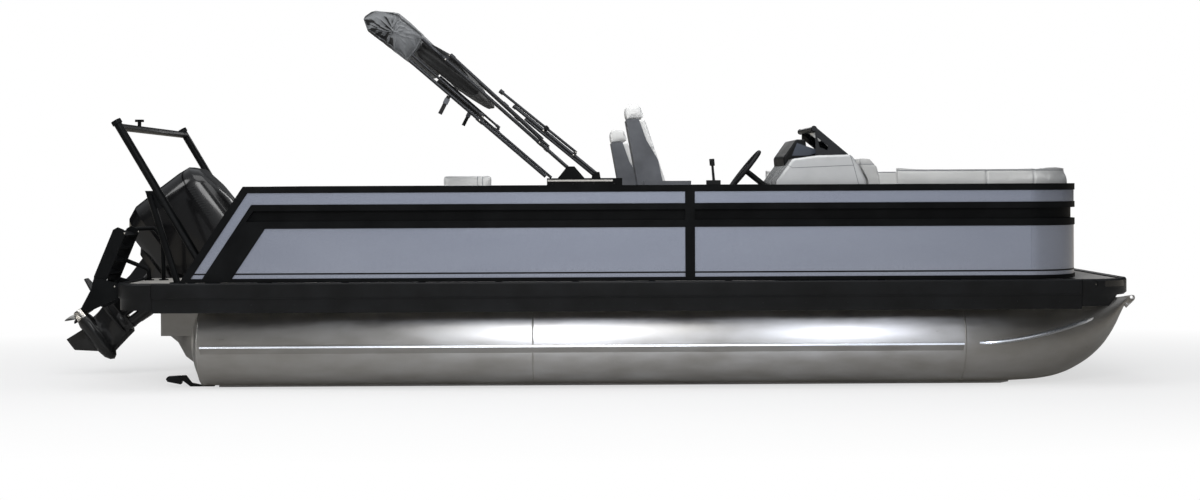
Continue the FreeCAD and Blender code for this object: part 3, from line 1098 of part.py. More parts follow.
seats.append(Part.makeBox(size.stern_lounge_fore - stern - back, port_face - back - size.stern_aisle,
                          size.pad_thick, vec(stern + back, size.stern_aisle, size.lounge_top))
             .fuse(Part.makeBox(size.port_lounge_fore - stern - back, port_face - back - size.port_seat_in,
                                size.pad_thick, vec(stern + back, size.port_seat_in, size.lounge_top)))
             .removeSplitter())
backs.append(Part.makeBox(back - 0.3, port_face - size.stern_aisle, 370, vec(stern, size.stern_aisle, size.lounge_top))
             .fuse(Part.makeBox(-1360 - stern, back - 0.3, 370, vec(stern, port_face - back + 0.3, size.lounge_top)))
             .removeSplitter())
backs.append(Part.makeBox(size.port_lounge_fore + 1355, back - 0.3, 485,
                          vec(-1355, port_face - back + 0.3, size.lounge_top)))
node("lounge_bases", made("lounge_bases", Part.makeCompound(bases)))
node("lounge_seats", made("lounge_seats", Part.makeCompound(seats)))
node("lounge_backs", made("lounge_backs", Part.makeCompound(backs)))

# --- depth transducer on the starboard tube's aft end --------------------------------------------------
arm = plate([(size.tube_aft + 70, size.keel_high - 0.3), (size.tube_aft + 70, 3), (size.tube_aft - 110, 3),
             (-3140, 56), (-3140, 86), (-3105, 86), (-3062, 30), (size.tube_aft - 15, size.keel_high - 0.3)],
            -size.tube_side - 16, -size.tube_side + 16)
paddle = plate([(-3252, 60), (-3240, 40), (-3140, 20), (-3130, 62), (-3150, 84), (-3240, 78)],
               -size.tube_side - 28, -size.tube_side + 28)
node("transducer", made("transducer", arm.fuse(paddle).removeSplitter()))

# --- checks and files -----------------------------------------------------------------------------------
doc.recompute()
for item in doc.Objects:
    if "Invalid" in item.State or "Error" in item.State:
        raise ValueError(f"{item.Name} failed to recompute")
os.makedirs("parts", exist_ok=True)
for name, thing in NODES.items():
    if thing.Shape.isNull() or not thing.Shape.isValid() or not thing.Shape.Solids:
        raise ValueError(f"{name} is not a valid solid")
for name, thing in NODES.items():
    thing.Shape.exportStep(f"parts/{name}.step")
print(len(NODES), "pieces")
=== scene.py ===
# %% [markdown]
# # A pontoon boat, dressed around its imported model
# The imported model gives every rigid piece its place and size, in metres: +X to the bow, +Y to
# port, +Z up. This script never moves those pieces. It gives them edges and finishes, builds the
# parts that need a finer mesh, and sews the cushions and the folded canvas.
# %% Load the fixed frame
import json
import math
import bmesh
import bpy
from mathutils import Matrix, Vector, noise
from mathutils.bvhtree import BVHTree


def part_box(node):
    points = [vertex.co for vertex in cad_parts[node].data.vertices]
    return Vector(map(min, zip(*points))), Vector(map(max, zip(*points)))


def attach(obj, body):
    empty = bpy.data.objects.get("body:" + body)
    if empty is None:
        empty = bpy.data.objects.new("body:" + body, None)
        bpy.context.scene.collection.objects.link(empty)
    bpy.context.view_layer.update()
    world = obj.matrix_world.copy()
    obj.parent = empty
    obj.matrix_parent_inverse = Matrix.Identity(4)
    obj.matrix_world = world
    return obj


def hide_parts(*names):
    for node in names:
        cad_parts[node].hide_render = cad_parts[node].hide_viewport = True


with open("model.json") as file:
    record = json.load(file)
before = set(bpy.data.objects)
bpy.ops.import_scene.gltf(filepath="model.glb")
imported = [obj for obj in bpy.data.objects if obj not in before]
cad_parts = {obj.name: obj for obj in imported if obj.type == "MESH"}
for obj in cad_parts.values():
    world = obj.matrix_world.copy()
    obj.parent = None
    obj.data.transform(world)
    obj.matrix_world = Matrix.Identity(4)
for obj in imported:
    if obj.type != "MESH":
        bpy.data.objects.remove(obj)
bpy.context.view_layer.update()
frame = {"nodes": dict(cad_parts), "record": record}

MM = 0.001
AXES = range(3)
WELD_GAP = 0.03 * MM

# %% [markdown]
# ## Camera, floor and lamps
# The boat is seen square from its starboard side, from about twelve metres off and at the height
# of the fence. The lens axis stays level and the frame is shifted down, so uprights stay upright.
# A large overhead softbox and a front one light it plainly, and two small ones are flagged off so
# that only the tubes see them and carry their glints. The white that the eye and the metal see
# comes from the world's camera and glossy rays, not from more light on the boat. Metal sees a
# bright screen ahead of midships that falls off to grey at both ends, as in a tapered light tent.
# %% Camera
IMAGE_WIDTH = 1200
FOCUS_PX = 1706
camera_data = bpy.data.cameras.new("camera")
camera_data.sensor_width = 36
camera_data.lens = camera_data.sensor_width * FOCUS_PX / IMAGE_WIDTH
camera_data.shift_y = -0.0552
camera_data.clip_end = 200
camera = bpy.data.objects.new("camera", camera_data)
bpy.context.scene.collection.objects.link(camera)
CAMERA_YAW = math.radians(0.65)
CAMERA_ROLL = math.radians(-0.243)
camera.matrix_world = (Matrix.Translation((-0.135, -13.70, 1.512)) @ Matrix.Rotation(-CAMERA_YAW, 4, "Z")
                       @ Matrix.Rotation(math.pi / 2, 4, "X") @ Matrix.Rotation(CAMERA_ROLL, 4, "Z"))
bpy.context.scene.camera = camera
bpy.context.scene.view_settings.view_transform = "Standard"


# %% Small helpers: colour, nodes, objects
def linear(code):
    """An sRGB hex colour as the linear values that sockets take."""
    parts = [int(code[place:place + 2], 16) / 255 for place in (1, 3, 5)]
    return [part / 12.92 if part <= 0.04045 else ((part + 0.055) / 1.055) ** 2.4 for part in parts] + [1.0]


def add(tree, kind, inputs=None, **settings):
    """Adds a node, sets its properties, and fills or links its inputs."""
    made = tree.nodes.new(kind)
    for name, value in settings.items():
        setattr(made, name, value)
    for key, value in (inputs or {}).items():
        if isinstance(value, bpy.types.NodeSocket):
            tree.links.new(value, made.inputs[key])
        else:
            made.inputs[key].default_value = value
    return made


def worked(tree, first, second=0.0, operation="MULTIPLY"):
    """The result of a Math node."""
    return add(tree, "ShaderNodeMath", {0: first, 1: second}, operation=operation).outputs[0]


def ramped(tree, value, span, result, **settings):
    """A value mapped from one span to another."""
    return add(tree, "ShaderNodeMapRange", {"Value": value, "From Min": span[0], "From Max": span[1],
                                            "To Min": result[0], "To Max": result[1]}, **settings).outputs[0]


def mixed(tree, factor, first, second):
    """A colour between two hex colours."""
    mix = add(tree, "ShaderNodeMix", {"Factor": factor}, data_type="RGBA")
    mix.inputs[6].default_value, mix.inputs[7].default_value = linear(first), linear(second)
    return mix.outputs[2]


def editable(mesh):
    """A mesh opened for editing."""
    sewn = bmesh.new()
    sewn.from_mesh(mesh)
    return sewn


def closed_up(name, sewn, recalculate=False):
    """The edited mesh as a new one, with its editor freed."""
    if recalculate:
        bmesh.ops.recalc_face_normals(sewn, faces=sewn.faces)
    mesh = bpy.data.meshes.new(name)
    sewn.to_mesh(mesh)
    sewn.free()
    return mesh


def put(name, mesh):
    """A new object that holds a mesh, in the scene."""
    thing = bpy.data.objects.new(name, mesh)
    bpy.context.scene.collection.objects.link(thing)
    return thing


def settle(thing, body, finish, replaced=(), smooth=35):
    """Finishes a piece: its shading, material, body and the nodes that it stands for."""
    mesh = thing.data
    mesh.materials.clear()
    mesh.materials.append(finish)
    mesh.polygons.foreach_set("material_index", [0] * len(mesh.polygons))
    mesh.shade_smooth()
    mesh.set_sharp_from_angle(angle=math.radians(smooth))
    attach(thing, body)
    if replaced:
        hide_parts(*replaced)
    return thing


def baked(thing):
    """The evaluated mesh of an object, with its modifiers gone."""
    graph = bpy.context.evaluated_depsgraph_get()
    mesh = bpy.data.meshes.new_from_object(thing.evaluated_get(graph))
    thing.modifiers.clear()
    thing.data = mesh
    return thing


def held_in(thing, node, spare_mm=0.0):
    """Keeps every point inside a node's box."""
    low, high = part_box(node)
    for vert in thing.data.vertices:
        vert.co = [min(max(value, floor - spare_mm * MM), roof + spare_mm * MM)
                   for floor, value, roof in zip(low, vert.co, high)]


# %% Floor and lamps
floor_mesh = bpy.data.meshes.new("floor")
floor_mesh.from_pydata([(-60, -40, 0), (60, -40, 0), (60, 80, 0), (-60, 80, 0)], [], [(0, 1, 2, 3)])
studio_floor = put("floor", floor_mesh)


def pale(name, strength):
    """Diffuse ground for the lamps, shown as near white to the lens, to metal and to glass."""
    finish = bpy.data.materials.new(name)
    finish.use_nodes = True
    tree = finish.node_tree
    tree.nodes.clear()
    ground = add(tree, "ShaderNodeBsdfDiffuse", {"Color": linear("#e4e4e4")})
    path = add(tree, "ShaderNodeLightPath")
    glossy = path.outputs["Is Glossy Ray"]
    tint = mixed(tree, glossy, "#ffffff", "#efe5d2")
    glow = add(tree, "ShaderNodeEmission", {"Color": tint, "Strength": strength})
    seen = worked(tree, worked(tree, path.outputs["Is Camera Ray"], glossy, "MAXIMUM"),
                  path.outputs["Is Transmission Ray"], "MAXIMUM")
    where = add(tree, "ShaderNodeMapping", {"Vector": add(tree, "ShaderNodeTexCoord").outputs["Object"],
                                            "Scale": (0.45, 1.0, 1.0)})
    away = add(tree, "ShaderNodeVectorMath", {0: where.outputs[0]}, operation="LENGTH").outputs["Value"]
    in_metal = ramped(tree, away, (1.2, 5.0), (0.10, 0.5))
    dimmer = add(tree, "ShaderNodeMix", {"Factor": glossy, "A": 1.0, "B": in_metal}).outputs[0]
    share = worked(tree, worked(tree, seen, ramped(tree, away, (1.3, 4.5), (0.6, 1.0))), dimmer)
    both = add(tree, "ShaderNodeMixShader", {0: share, 1: ground.outputs[0], 2: glow.outputs[0]})
    add(tree, "ShaderNodeOutputMaterial", {"Surface": both.outputs[0]})
    return finish


floor_mesh.materials.append(pale("studio_paper", 1.0))

world = bpy.data.worlds.new("studio")
bpy.context.scene.world = world
world.use_nodes = True
sky = world.node_tree
sky.nodes.clear()
ray = add(sky, "ShaderNodeLightPath")


def background(colour, strength):
    return add(sky, "ShaderNodeBackground", {"Color": linear(colour), "Strength": strength}).outputs[0]


shown = worked(sky, ray.outputs["Is Camera Ray"], ray.outputs["Is Transmission Ray"], "MAXIMUM")
heading = add(sky, "ShaderNodeSeparateXYZ", {0: add(sky, "ShaderNodeTexCoord").outputs["Generated"]})
off_screen = worked(sky, worked(sky, heading.outputs[0], 0.07, "SUBTRACT"), 0.0, "ABSOLUTE")
SMOOTH = {"interpolation_type": "SMOOTHSTEP"}
screen = ramped(sky, off_screen, (0.05, 0.42), (0.92, 0.13), **SMOOTH)
ceiling = ramped(sky, heading.outputs[2], (0.35, 0.75), (0.0, 0.9), **SMOOTH)
ahead = ramped(sky, heading.outputs[1], (-0.3, 0.3), (1.0, 0.12), **SMOOTH)
mirrored = worked(sky, worked(sky, screen, ahead), ceiling, "MAXIMUM")
lit_sky = add(sky, "ShaderNodeMixShader", {0: ray.outputs["Is Glossy Ray"], 1: background("#dfe3ea", 0.34),
                                           2: background("#eef1f5", mirrored)})
blended_sky = add(sky, "ShaderNodeMixShader", {0: shown, 1: lit_sky.outputs[0],
                                               2: background("#ffffff", 1.0)})
add(sky, "ShaderNodeOutputWorld", {"Surface": blended_sky.outputs[0]})


def lamp(name, place, target, wide, high, watts, tint="#ffffff"):
    """A soft rectangular lamp aimed at a point."""
    data = bpy.data.lights.new(name, "AREA")
    data.shape = "RECTANGLE"
    data.size, data.size_y, data.energy = wide, high, watts
    data.color = linear(tint)[:3]
    thing = put(name, data)
    aim = Vector(target) - Vector(place)
    thing.matrix_world = Matrix.Translation(place) @ aim.to_track_quat("-Z", "Y").to_matrix().to_4x4()
    return thing


lamp("overhead", (-0.1, -2.2, 6.5), (0.0, 0, 0.5), 6.0, 4.0, 235)
lamp("front", (-0.2, -9.5, 5.8), (-0.1, 0, 0.8), 2.8, 2.6, 270)
TUBES = bpy.data.collections.new("tubes")
for name, x, wide in (("glint_bow", 3.1, 0.8), ("glint_middle", -0.45, 1.0)):
    glint = lamp(name, (x, -9.3, 3.9), (0.6 * x, -1.1, 0.5), wide, 1.5, 330, "#e8efff")
    glint.light_linking.receiver_collection = TUBES
lamp("stern", (-6.5, -5.0, 6.5), (-1.6, 0.3, 1.5), 3.0, 3.0, 210)
lamp("port", (3.0, 11.0, 5.0), (0.0, 0, 1.0), 6.0, 3.0, 240)
print("camera lens", round(camera_data.lens, 2), "mm")

# %% [markdown]
# ## Finishes
# Each finish starts from what the real surface is and how it was made. Patterns are laid out on
# Object coordinates, which are the boat's own axes in metres, so a scale of 1000 is a millimetre.
# Numbers that are the same all over a surface sit on the shader's own sockets.
# %% Helpers for finishes
def finish_of(name, colour, roughness, **more):
    """A material with its Principled shader; gives (material, tree, shader, place)."""
    made = bpy.data.materials.new(name)
    made.use_nodes = True
    tree = made.node_tree
    tree.nodes.clear()
    inputs = {"Base Color": linear(colour), "Roughness": roughness}
    inputs.update({key.replace("_", " "): value for key, value in more.items()})
    shader = add(tree, "ShaderNodeBsdfPrincipled", inputs)
    add(tree, "ShaderNodeOutputMaterial", {"Surface": shader.outputs[0]})
    place = add(tree, "ShaderNodeTexCoord").outputs["Object"]
    return made, tree, shader, place


def stretched(tree, place, scale, turn=(0, 0, 0)):
    return add(tree, "ShaderNodeMapping", {"Vector": place, "Scale": scale, "Rotation": turn}).outputs[0]


def cloudy(tree, place, scale, detail=3.0, rough=0.55):
    return add(tree, "ShaderNodeTexNoise", {"Vector": place, "Scale": scale, "Detail": detail,
                                            "Roughness": rough}).outputs["Fac"]


def ranged(tree, value, low, high, start=0.3, end=0.7):
    """Spreads the middle of a pattern between two values."""
    return ramped(tree, value, (start, end), (low, high))


def tinted(tree, shader, value, dark, light):
    """Colours a surface between two hex colours."""
    tree.links.new(mixed(tree, value, dark, light), shader.inputs["Base Color"])


def bumped(tree, shader, height, depth_mm, strength=1.0):
    bump = add(tree, "ShaderNodeBump", {"Height": height, "Strength": strength, "Distance": depth_mm * MM})
    tree.links.new(bump.outputs[0], shader.inputs["Normal"])


# %% Metals
def mill_aluminium():
    """Marine sheet as it leaves the rolls: grain along the tube, so it smears lamps round the tube."""
    made, tree, shader, place = finish_of("rolled_aluminium", "#8b8986", 0.3, Metallic=1.0, Anisotropic=0.85)
    round_tube = add(tree, "ShaderNodeTangent", direction_type="RADIAL", axis="X")
    tree.links.new(round_tube.outputs[0], shader.inputs["Tangent"])
    grain = cloudy(tree, stretched(tree, place, (3, 260, 260)), 1.0, 2.0)
    marks = cloudy(tree, stretched(tree, place, (1.2, 3, 3)), 2.2, 4.0)
    tinted(tree, shader, marks, "#7b7873", "#9d9c9a")
    rough = worked(tree, ranged(tree, grain, 0.9, 1.12), ranged(tree, marks, 0.3, 0.4))
    tree.links.new(rough, shader.inputs["Roughness"])
    bumped(tree, shader, grain, 0.05)
    return made


def highlight_aluminium():
    """Aluminium brighter than the tube sheet, with draw lines along it: a painted highlight on the strake
    lips, the nose fins and the deck edge strips.
    """
    made, tree, shader, place = finish_of("aluminium_painted_highlight", "#cfd2d6", 0.26, Metallic=1.0)
    lines = cloudy(tree, stretched(tree, place, (4, 900, 900)), 1.0, 2.0)
    tinted(tree, shader, lines, "#bfc2c6", "#dde0e4")
    tree.links.new(ranged(tree, lines, 0.22, 0.34), shader.inputs["Roughness"])
    return made


def anodised_tube():
    """Drawn canopy tube, anodised dark grey: fine lengthwise draw lines under an even film."""
    made, tree, shader, place = finish_of("anodised_tube", "#2d2e31", 0.36, Metallic=0.85)
    lines = cloudy(tree, stretched(tree, place, (8, 90, 90)), 1.0, 2.0)
    tinted(tree, shader, lines, "#2d2e30", "#343538")
    tree.links.new(ranged(tree, lines, 0.34, 0.38), shader.inputs["Roughness"])
    return made


def powder_coat(name, colour, light, roughness, peel_mm=0.06):
    """Powder coat: an even film with orange peel a few millimetres across and faint dust on top."""
    made, tree, shader, place = finish_of(name, colour, roughness, Specular_IOR_Level=0.05)
    peel = cloudy(tree, place, 420.0, 1.0)
    dust = cloudy(tree, place, 5.0, 4.0)
    tinted(tree, shader, ranged(tree, dust, 0.0, 1.0, 0.35, 0.75), colour, light)
    tree.links.new(ranged(tree, dust, roughness - 0.04, roughness + 0.08), shader.inputs["Roughness"])
    if peel_mm:
        bumped(tree, shader, peel, peel_mm)
    return made


def panel_paint():
    """Fence sheet in silver-blue metallic paint: flake that glints finer than a millimetre."""
    made, tree, shader, place = finish_of("metallic_paint", "#9aa1b3", 0.28, Metallic=0.7,
                                          Coat_Weight=0.35, Coat_Roughness=0.12)
    flake = add(tree, "ShaderNodeTexVoronoi", {"Vector": place, "Scale": 700.0}).outputs["Distance"]
    drift = cloudy(tree, stretched(tree, place, (0.5, 1, 2)), 1.3, 2.0)
    tinted(tree, shader, worked(tree, ranged(tree, flake, 0.2, 0.8, 0.1, 0.7), drift, "MULTIPLY"),
           "#8b92a4", "#b2b8c8")
    tree.links.new(ranged(tree, flake, 0.24, 0.32, 0.1, 0.7), shader.inputs["Roughness"])
    return made


def stainless():
    """Cast stainless, polished: bright, with faint buffing swirls."""
    made, tree, shader, place = finish_of("polished_stainless", "#b9b6b0", 0.18, Metallic=1.0)
    swirl = cloudy(tree, stretched(tree, place, (300, 90, 300), (0.4, 0.2, 0.7)), 1.0, 3.0)
    tinted(tree, shader, swirl, "#a19d96", "#cfccc6")
    tree.links.new(ranged(tree, swirl, 0.12, 0.26), shader.inputs["Roughness"])
    return made


def bare_casting():
    """Sand-cast iron: dark, pitted and dull."""
    made, tree, shader, place = finish_of("sand_casting", "#3b3b3d", 0.75, Metallic=0.6)
    pits = cloudy(tree, place, 300.0, 5.0, 0.7)
    tinted(tree, shader, pits, "#2c2c2e", "#4c4c4e")
    bumped(tree, shader, pits, 0.5)
    return made


# %% Plastics, paint and glass
def moulded(name, dark, light, roughness, grain=900.0, depth=0.12):
    """Moulded plastic with the fine leather-like texture of its tool."""
    made, tree, shader, place = finish_of(name, dark, roughness, Specular_IOR_Level=0.15)
    pebble = add(tree, "ShaderNodeTexVoronoi", {"Vector": place, "Scale": grain}).outputs["Distance"]
    wear = cloudy(tree, place, 4.0, 4.0)
    tinted(tree, shader, ranged(tree, wear, 0.0, 1.0, 0.35, 0.75), dark, light)
    tree.links.new(ranged(tree, wear, roughness - 0.05, roughness + 0.07), shader.inputs["Roughness"])
    bumped(tree, shader, pebble, depth)
    return made


def gel_coat(dark, light):
    """Gel coat off a polished mould: glossy pale grey with a barely wavy surface."""
    made, tree, shader, place = finish_of("gel_coat", light, 0.16, Coat_Weight=0.5, Coat_Roughness=0.05)
    wave = cloudy(tree, place, 7.0, 2.0)
    tinted(tree, shader, wave, dark, light)
    tree.links.new(ranged(tree, wave, 0.12, 0.22), shader.inputs["Roughness"])
    bumped(tree, shader, wave, 0.8, 0.4)
    return made


def engine_paint(name, dark, light, roughness):
    """Outboard enamel under clear lacquer."""
    made, tree, shader, place = finish_of(name, dark, roughness, Coat_Weight=0.3, Coat_Roughness=0.08,
                                          Specular_IOR_Level=0.2)
    film = cloudy(tree, place, 6.0, 3.0)
    tinted(tree, shader, film, dark, light)
    tree.links.new(ranged(tree, film, roughness - 0.05, roughness + 0.08), shader.inputs["Roughness"])
    bumped(tree, shader, cloudy(tree, place, 260.0, 1.0), 0.04)
    return made


def smoked_acrylic():
    """Cast acrylic, smoked nearly black and polished at its faces."""
    made, tree, shader, place = finish_of("smoked_acrylic", "#121316", 0.08, IOR=1.45,
                                          Transmission_Weight=0.2)
    haze = cloudy(tree, place, 30.0, 3.0)
    tinted(tree, shader, haze, "#101114", "#1b1c20")
    tree.links.new(ranged(tree, haze, 0.03, 0.1), shader.inputs["Roughness"])
    return made


# %% Cloths and skins
def marine_vinyl(name, dark, light, roughness=0.42):
    """Coated upholstery cloth: pebbled grain about two millimetres across, soft sheen."""
    made, tree, shader, place = finish_of(name, dark, roughness, Sheen_Weight=0.15)
    pebble = add(tree, "ShaderNodeTexVoronoi", {"Vector": place, "Scale": 520.0, "Randomness": 0.9},
                 feature="SMOOTH_F1").outputs["Distance"]
    creases = cloudy(tree, place, 26.0, 5.0, 0.6)
    soil = cloudy(tree, place, 3.0, 3.0)
    tinted(tree, shader, soil, dark, light)
    tree.links.new(ranged(tree, creases, roughness - 0.06, roughness + 0.1), shader.inputs["Roughness"])
    both = worked(tree, worked(tree, pebble, 0.35), creases, "ADD")
    bumped(tree, shader, both, 0.5, 0.5)
    return made


def weave(name, dark, light, pitch_mm, roughness, depth_mm, sheen=0.2):
    """Plain weave: over-and-under threads drawn by two crossed waves at the thread pitch."""
    made, tree, shader, place = finish_of(name, dark, roughness, Sheen_Weight=sheen)
    turns = 1 / (pitch_mm * MM)
    split = add(tree, "ShaderNodeSeparateXYZ", {"Vector": place})
    run = worked(tree, worked(tree, split.outputs[0], split.outputs[2], "ADD"), turns * math.pi)
    cross = worked(tree, worked(tree, split.outputs[1], split.outputs[2], "SUBTRACT"), turns * math.pi)
    warp, weft = worked(tree, run, 0.0, "SINE"), worked(tree, cross, 0.0, "SINE")
    threads = worked(tree, worked(tree, warp, weft), 0.0, "ABSOLUTE")
    patches = cloudy(tree, place, 7.0, 5.0)
    shade = worked(tree, worked(tree, threads, 0.45), worked(tree, patches, 0.55), "ADD")
    tinted(tree, shader, shade, dark, light)
    bumped(tree, shader, threads, depth_mm, 0.8)
    return made


FINISH = {
    "tube_aluminium": mill_aluminium(),
    # The brighter aluminium made next is a painted highlight on the strake lips, nose fins and deck edge
    # strips.
    "painted_highlight_aluminium": highlight_aluminium(),
    "frame_black": powder_coat("frame_powder_coat", "#0d0e0f", "#151617", 0.44),
    "panel_silver": panel_paint(),
    "trim_black": moulded("rub_rail_plastic", "#0e0f10", "#18191b", 0.42),
    "deck_vinyl": weave("woven_floor", "#8d8a85", "#bdb9b2", 6.0, 0.75, 0.9),
    "fibreglass_white": gel_coat("#b4b5b5", "#c6c7c7"),
    "vinyl_white": marine_vinyl("white_marine_vinyl", "#e9e9e7", "#f6f6f4"),
    # A darker copy of the white vinyl, for the forward lounge pads: painted shade.
    "vinyl_white_shaded": marine_vinyl("white_marine_vinyl_painted_shade", "#bcbcba", "#cdcdcb"),
    "vinyl_grey": marine_vinyl("grey_marine_vinyl", "#6e7076", "#8c8e94"),
    "shell_grey": moulded("chair_shell_plastic", "#5c5e62", "#727479", 0.4),
    "canvas_black": weave("acrylic_canvas", "#0a0b0b", "#131415", 2.4, 0.85, 0.5, 0.1),
    "canvas_grey": weave("boot_canvas", "#5e6062", "#797b7d", 2.4, 0.85, 0.5, 0.15),
    "bow_tube": anodised_tube(),
    "black_tube": powder_coat("arch_powder_coat", "#0d0e0f", "#151617", 0.34, 0),
    "engine_black": engine_paint("cowl_enamel", "#09090a", "#111112", 0.2),
    "leg_black": engine_paint("leg_enamel", "#0a0b0b", "#141415", 0.4),
    "steel_bright": stainless(),
    "block_iron": bare_casting(),
    "acrylic_smoked": smoked_acrylic(),
    "dash_gloss": engine_paint("dash_gloss", "#3d424b", "#4c525d", 0.12),
    "wheel_black": moulded("grip_rubber", "#151516", "#242425", 0.6, 600.0, 0.2),
}
print(len(FINISH), "finishes")

# %% [markdown]
# ## Rigid pieces
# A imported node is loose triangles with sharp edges. A copy of it is welded, its flat faces are
# joined, and a Bevel modifier breaks its edges by a few millimetres, as paint, extrusion dies and
# moulds do on the real piece: an edge is seen by the thin highlight that runs along it.
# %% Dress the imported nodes
BODY_OF = {node: body for body, nodes in frame["record"]["behaviour"]["bodies"].items() for node in nodes}
SLOT_OF = {part["node"]: part["material_slot"] for part in frame["record"]["subparts"]}


def merged(node):
    """A node's loose triangles opened for editing, with their shared corners made one."""
    sewn = editable(frame["nodes"][node].data)
    bmesh.ops.remove_doubles(sewn, verts=sewn.verts, dist=WELD_GAP)
    return sewn


def welded(node):
    """A copy of a node's mesh with its doubles merged and its flat faces joined."""
    sewn = merged(node)
    bmesh.ops.dissolve_limit(sewn, angle_limit=math.radians(0.3), verts=sewn.verts, edges=sewn.edges)
    return closed_up(node + "_skin", sewn)


def dress(node, bevel_mm, rounds):
    """The node's own shape with broken edges and its finish."""
    piece = put(node + "_skin", welded(node))
    if bevel_mm:
        edge = piece.modifiers.new("edge", "BEVEL")
        edge.width = bevel_mm * MM
        edge.segments = rounds
        edge.limit_method = "ANGLE"
        edge.angle_limit = math.radians(38)
        edge.use_clamp_overlap = True
        baked(piece)
    slot = SLOT_OF[node]
    settle(piece, BODY_OF[node], FINISH[slot], (node,))
    if bevel_mm:
        piece.modifiers.new("even", "WEIGHTED_NORMAL").keep_sharp = True
        baked(piece)
    return piece


EDGES = {
    "crossmembers": 1.0, "deck": 2.0, "side_trim_starboard": 5.0, "side_trim_port": 5.0, "bow_trim": 5.0,
    "stern_trim": 5.0, "motor_pod": 2.0, "fence_frame_starboard": 3.0, "fence_frame_port": 3.0,
    "fence_frame_bow": 3.0, "fence_panels_starboard": 1.5, "fence_panels_port": 1.5, "fence_panels_bow": 1.5,
    "gate_bow": 2.5, "gate_stern": 2.5, "stern_wall": 4.0, "tow_arch": 0.0, "grab_rails": 0.0, "ladder": 2.5,
    "ladder_bracket": 2.0, "clamp_bracket": 4.0, "swivel_bracket": 3.0, "powerhead": 4.0,
    "bimini_tracks": 2.0, "bimini_bows": 0.0, "bimini_strut": 0.0, "helm_dash": 12.0,
    "windscreen": 1.5, "steering_wheel": 1.0, "steering_column": 1.5, "throttle": 3.0,
    "chair_pedestals": 2.0, "lounge_bases": 10.0, "transducer": 3.0, "bow_corners": 0.0, "stern_corners": 0.0,
    "helm_console": 22.0, "motor_leg": 0.0, "lower_cowl": 0.0, "cowl": 0.0, "propeller": 0.0,
    "chair_starboard_shell": 2.4, "chair_port_shell": 2.4,
}
skins = {node: dress(node, bevel_mm, 5 if bevel_mm > 9 else 2) for node, bevel_mm in EDGES.items()}
print("dressed", len(skins), "nodes")

# %% [markdown]
# ## Shapes that repeat
# Weld ripples, stitches, screws, ribs and slats are the same small thing set again and again along
# a line. One Geometry Nodes tree does it: the line is resampled at the pitch, the small shape is
# stood on it with its X along the line and its Z along the line's own "up", and the copies are
# made real, because an export keeps no instances.
# %% The tree that sets marks along a line
def new_tree(name, sockets):
    """A Geometry Nodes tree with named inputs; gives the tree, its input node and its output node."""
    tree = bpy.data.node_groups.new(name, "GeometryNodeTree")
    tree.interface.new_socket("Geometry", in_out="INPUT", socket_type="NodeSocketGeometry")
    for title, kind in sockets:
        tree.interface.new_socket(title, in_out="INPUT", socket_type="NodeSocket" + kind)
    tree.interface.new_socket("Geometry", in_out="OUTPUT", socket_type="NodeSocketGeometry")
    return tree, add(tree, "NodeGroupInput"), add(tree, "NodeGroupOutput")


def grown(name, tree, values, start=None):
    """Runs a tree on a mesh and gives the result as a plain mesh in a new object."""
    holder = put(name, start or bpy.data.meshes.new(name))
    rule = holder.modifiers.new("rule", "NODES")
    rule.node_group = tree
    for item in tree.interface.items_tree:
        if item.in_out == "INPUT" and item.name in values:
            rule[item.identifier] = values[item.name]
    return baked(holder)


def painted(tree, shapes, given, result):
    """Makes a tree's shapes real and gives them the finish that it was handed."""
    real = add(tree, "GeometryNodeRealizeInstances", {0: shapes.outputs[0]})
    finish = add(tree, "GeometryNodeSetMaterial", {"Geometry": real.outputs[0],
                                                   "Material": given.outputs["Finish"]})
    tree.links.new(finish.outputs[0], result.inputs[0])
    return tree


def marks_tree(shape):
    tree, given, result = new_tree("marks_" + shape, (("Pitch", "Float"), ("Size", "Vector"),
                                                      ("Finish", "Material")))
    line = add(tree, "GeometryNodeMeshToCurve", {0: given.outputs["Geometry"]})
    steps = add(tree, "GeometryNodeResampleCurve", {"Curve": line.outputs[0]}, mode="LENGTH")
    tree.links.new(given.outputs["Pitch"], steps.inputs["Length"])
    ways_up = add(tree, "GeometryNodeInputNamedAttribute", {"Name": "up"}, data_type="FLOAT_VECTOR")
    stood = add(tree, "FunctionNodeAlignRotationToVector", {"Vector": ways_up.outputs[0]}, axis="Z")
    heading = add(tree, "GeometryNodeInputTangent")
    turned = add(tree, "FunctionNodeAlignRotationToVector",
                 {"Rotation": stood.outputs[0], "Vector": heading.outputs[0]}, axis="X", pivot_axis="Z")
    if shape == "bead":
        small = add(tree, "GeometryNodeMeshIcoSphere", {"Radius": 0.5, "Subdivisions": 1})
    elif shape == "head":
        small = add(tree, "GeometryNodeMeshUVSphere", {"Radius": 0.5, "Segments": 10, "Rings": 6})
    else:
        small = add(tree, "GeometryNodeMeshCube", {"Size": (1, 1, 1)})
    copies = add(tree, "GeometryNodeInstanceOnPoints",
                 {"Points": steps.outputs[0], "Instance": small.outputs[0], "Rotation": turned.outputs[0],
                  "Scale": given.outputs["Size"]})
    return painted(tree, copies, given, result)


MARKS = {shape: marks_tree(shape) for shape in ("bead", "head", "bar")}


def line_of(name, runs):
    """A mesh of lines; each run is (points, ups, closed)."""
    places, edges, ways = [], [], []
    for points, ups, closed in runs:
        first = len(places)
        places += [tuple(point) for point in points]
        ways += [tuple(up) for up in ups]
        edges += [(first + step, first + step + 1) for step in range(len(points) - 1)]
        if closed:
            edges.append((first + len(points) - 1, first))
    mesh = bpy.data.meshes.new(name)
    mesh.from_pydata(places, edges, [])
    ups = mesh.attributes.new("up", "FLOAT_VECTOR", "POINT")
    ups.data.foreach_set("vector", [value for way in ways for value in way])
    return mesh


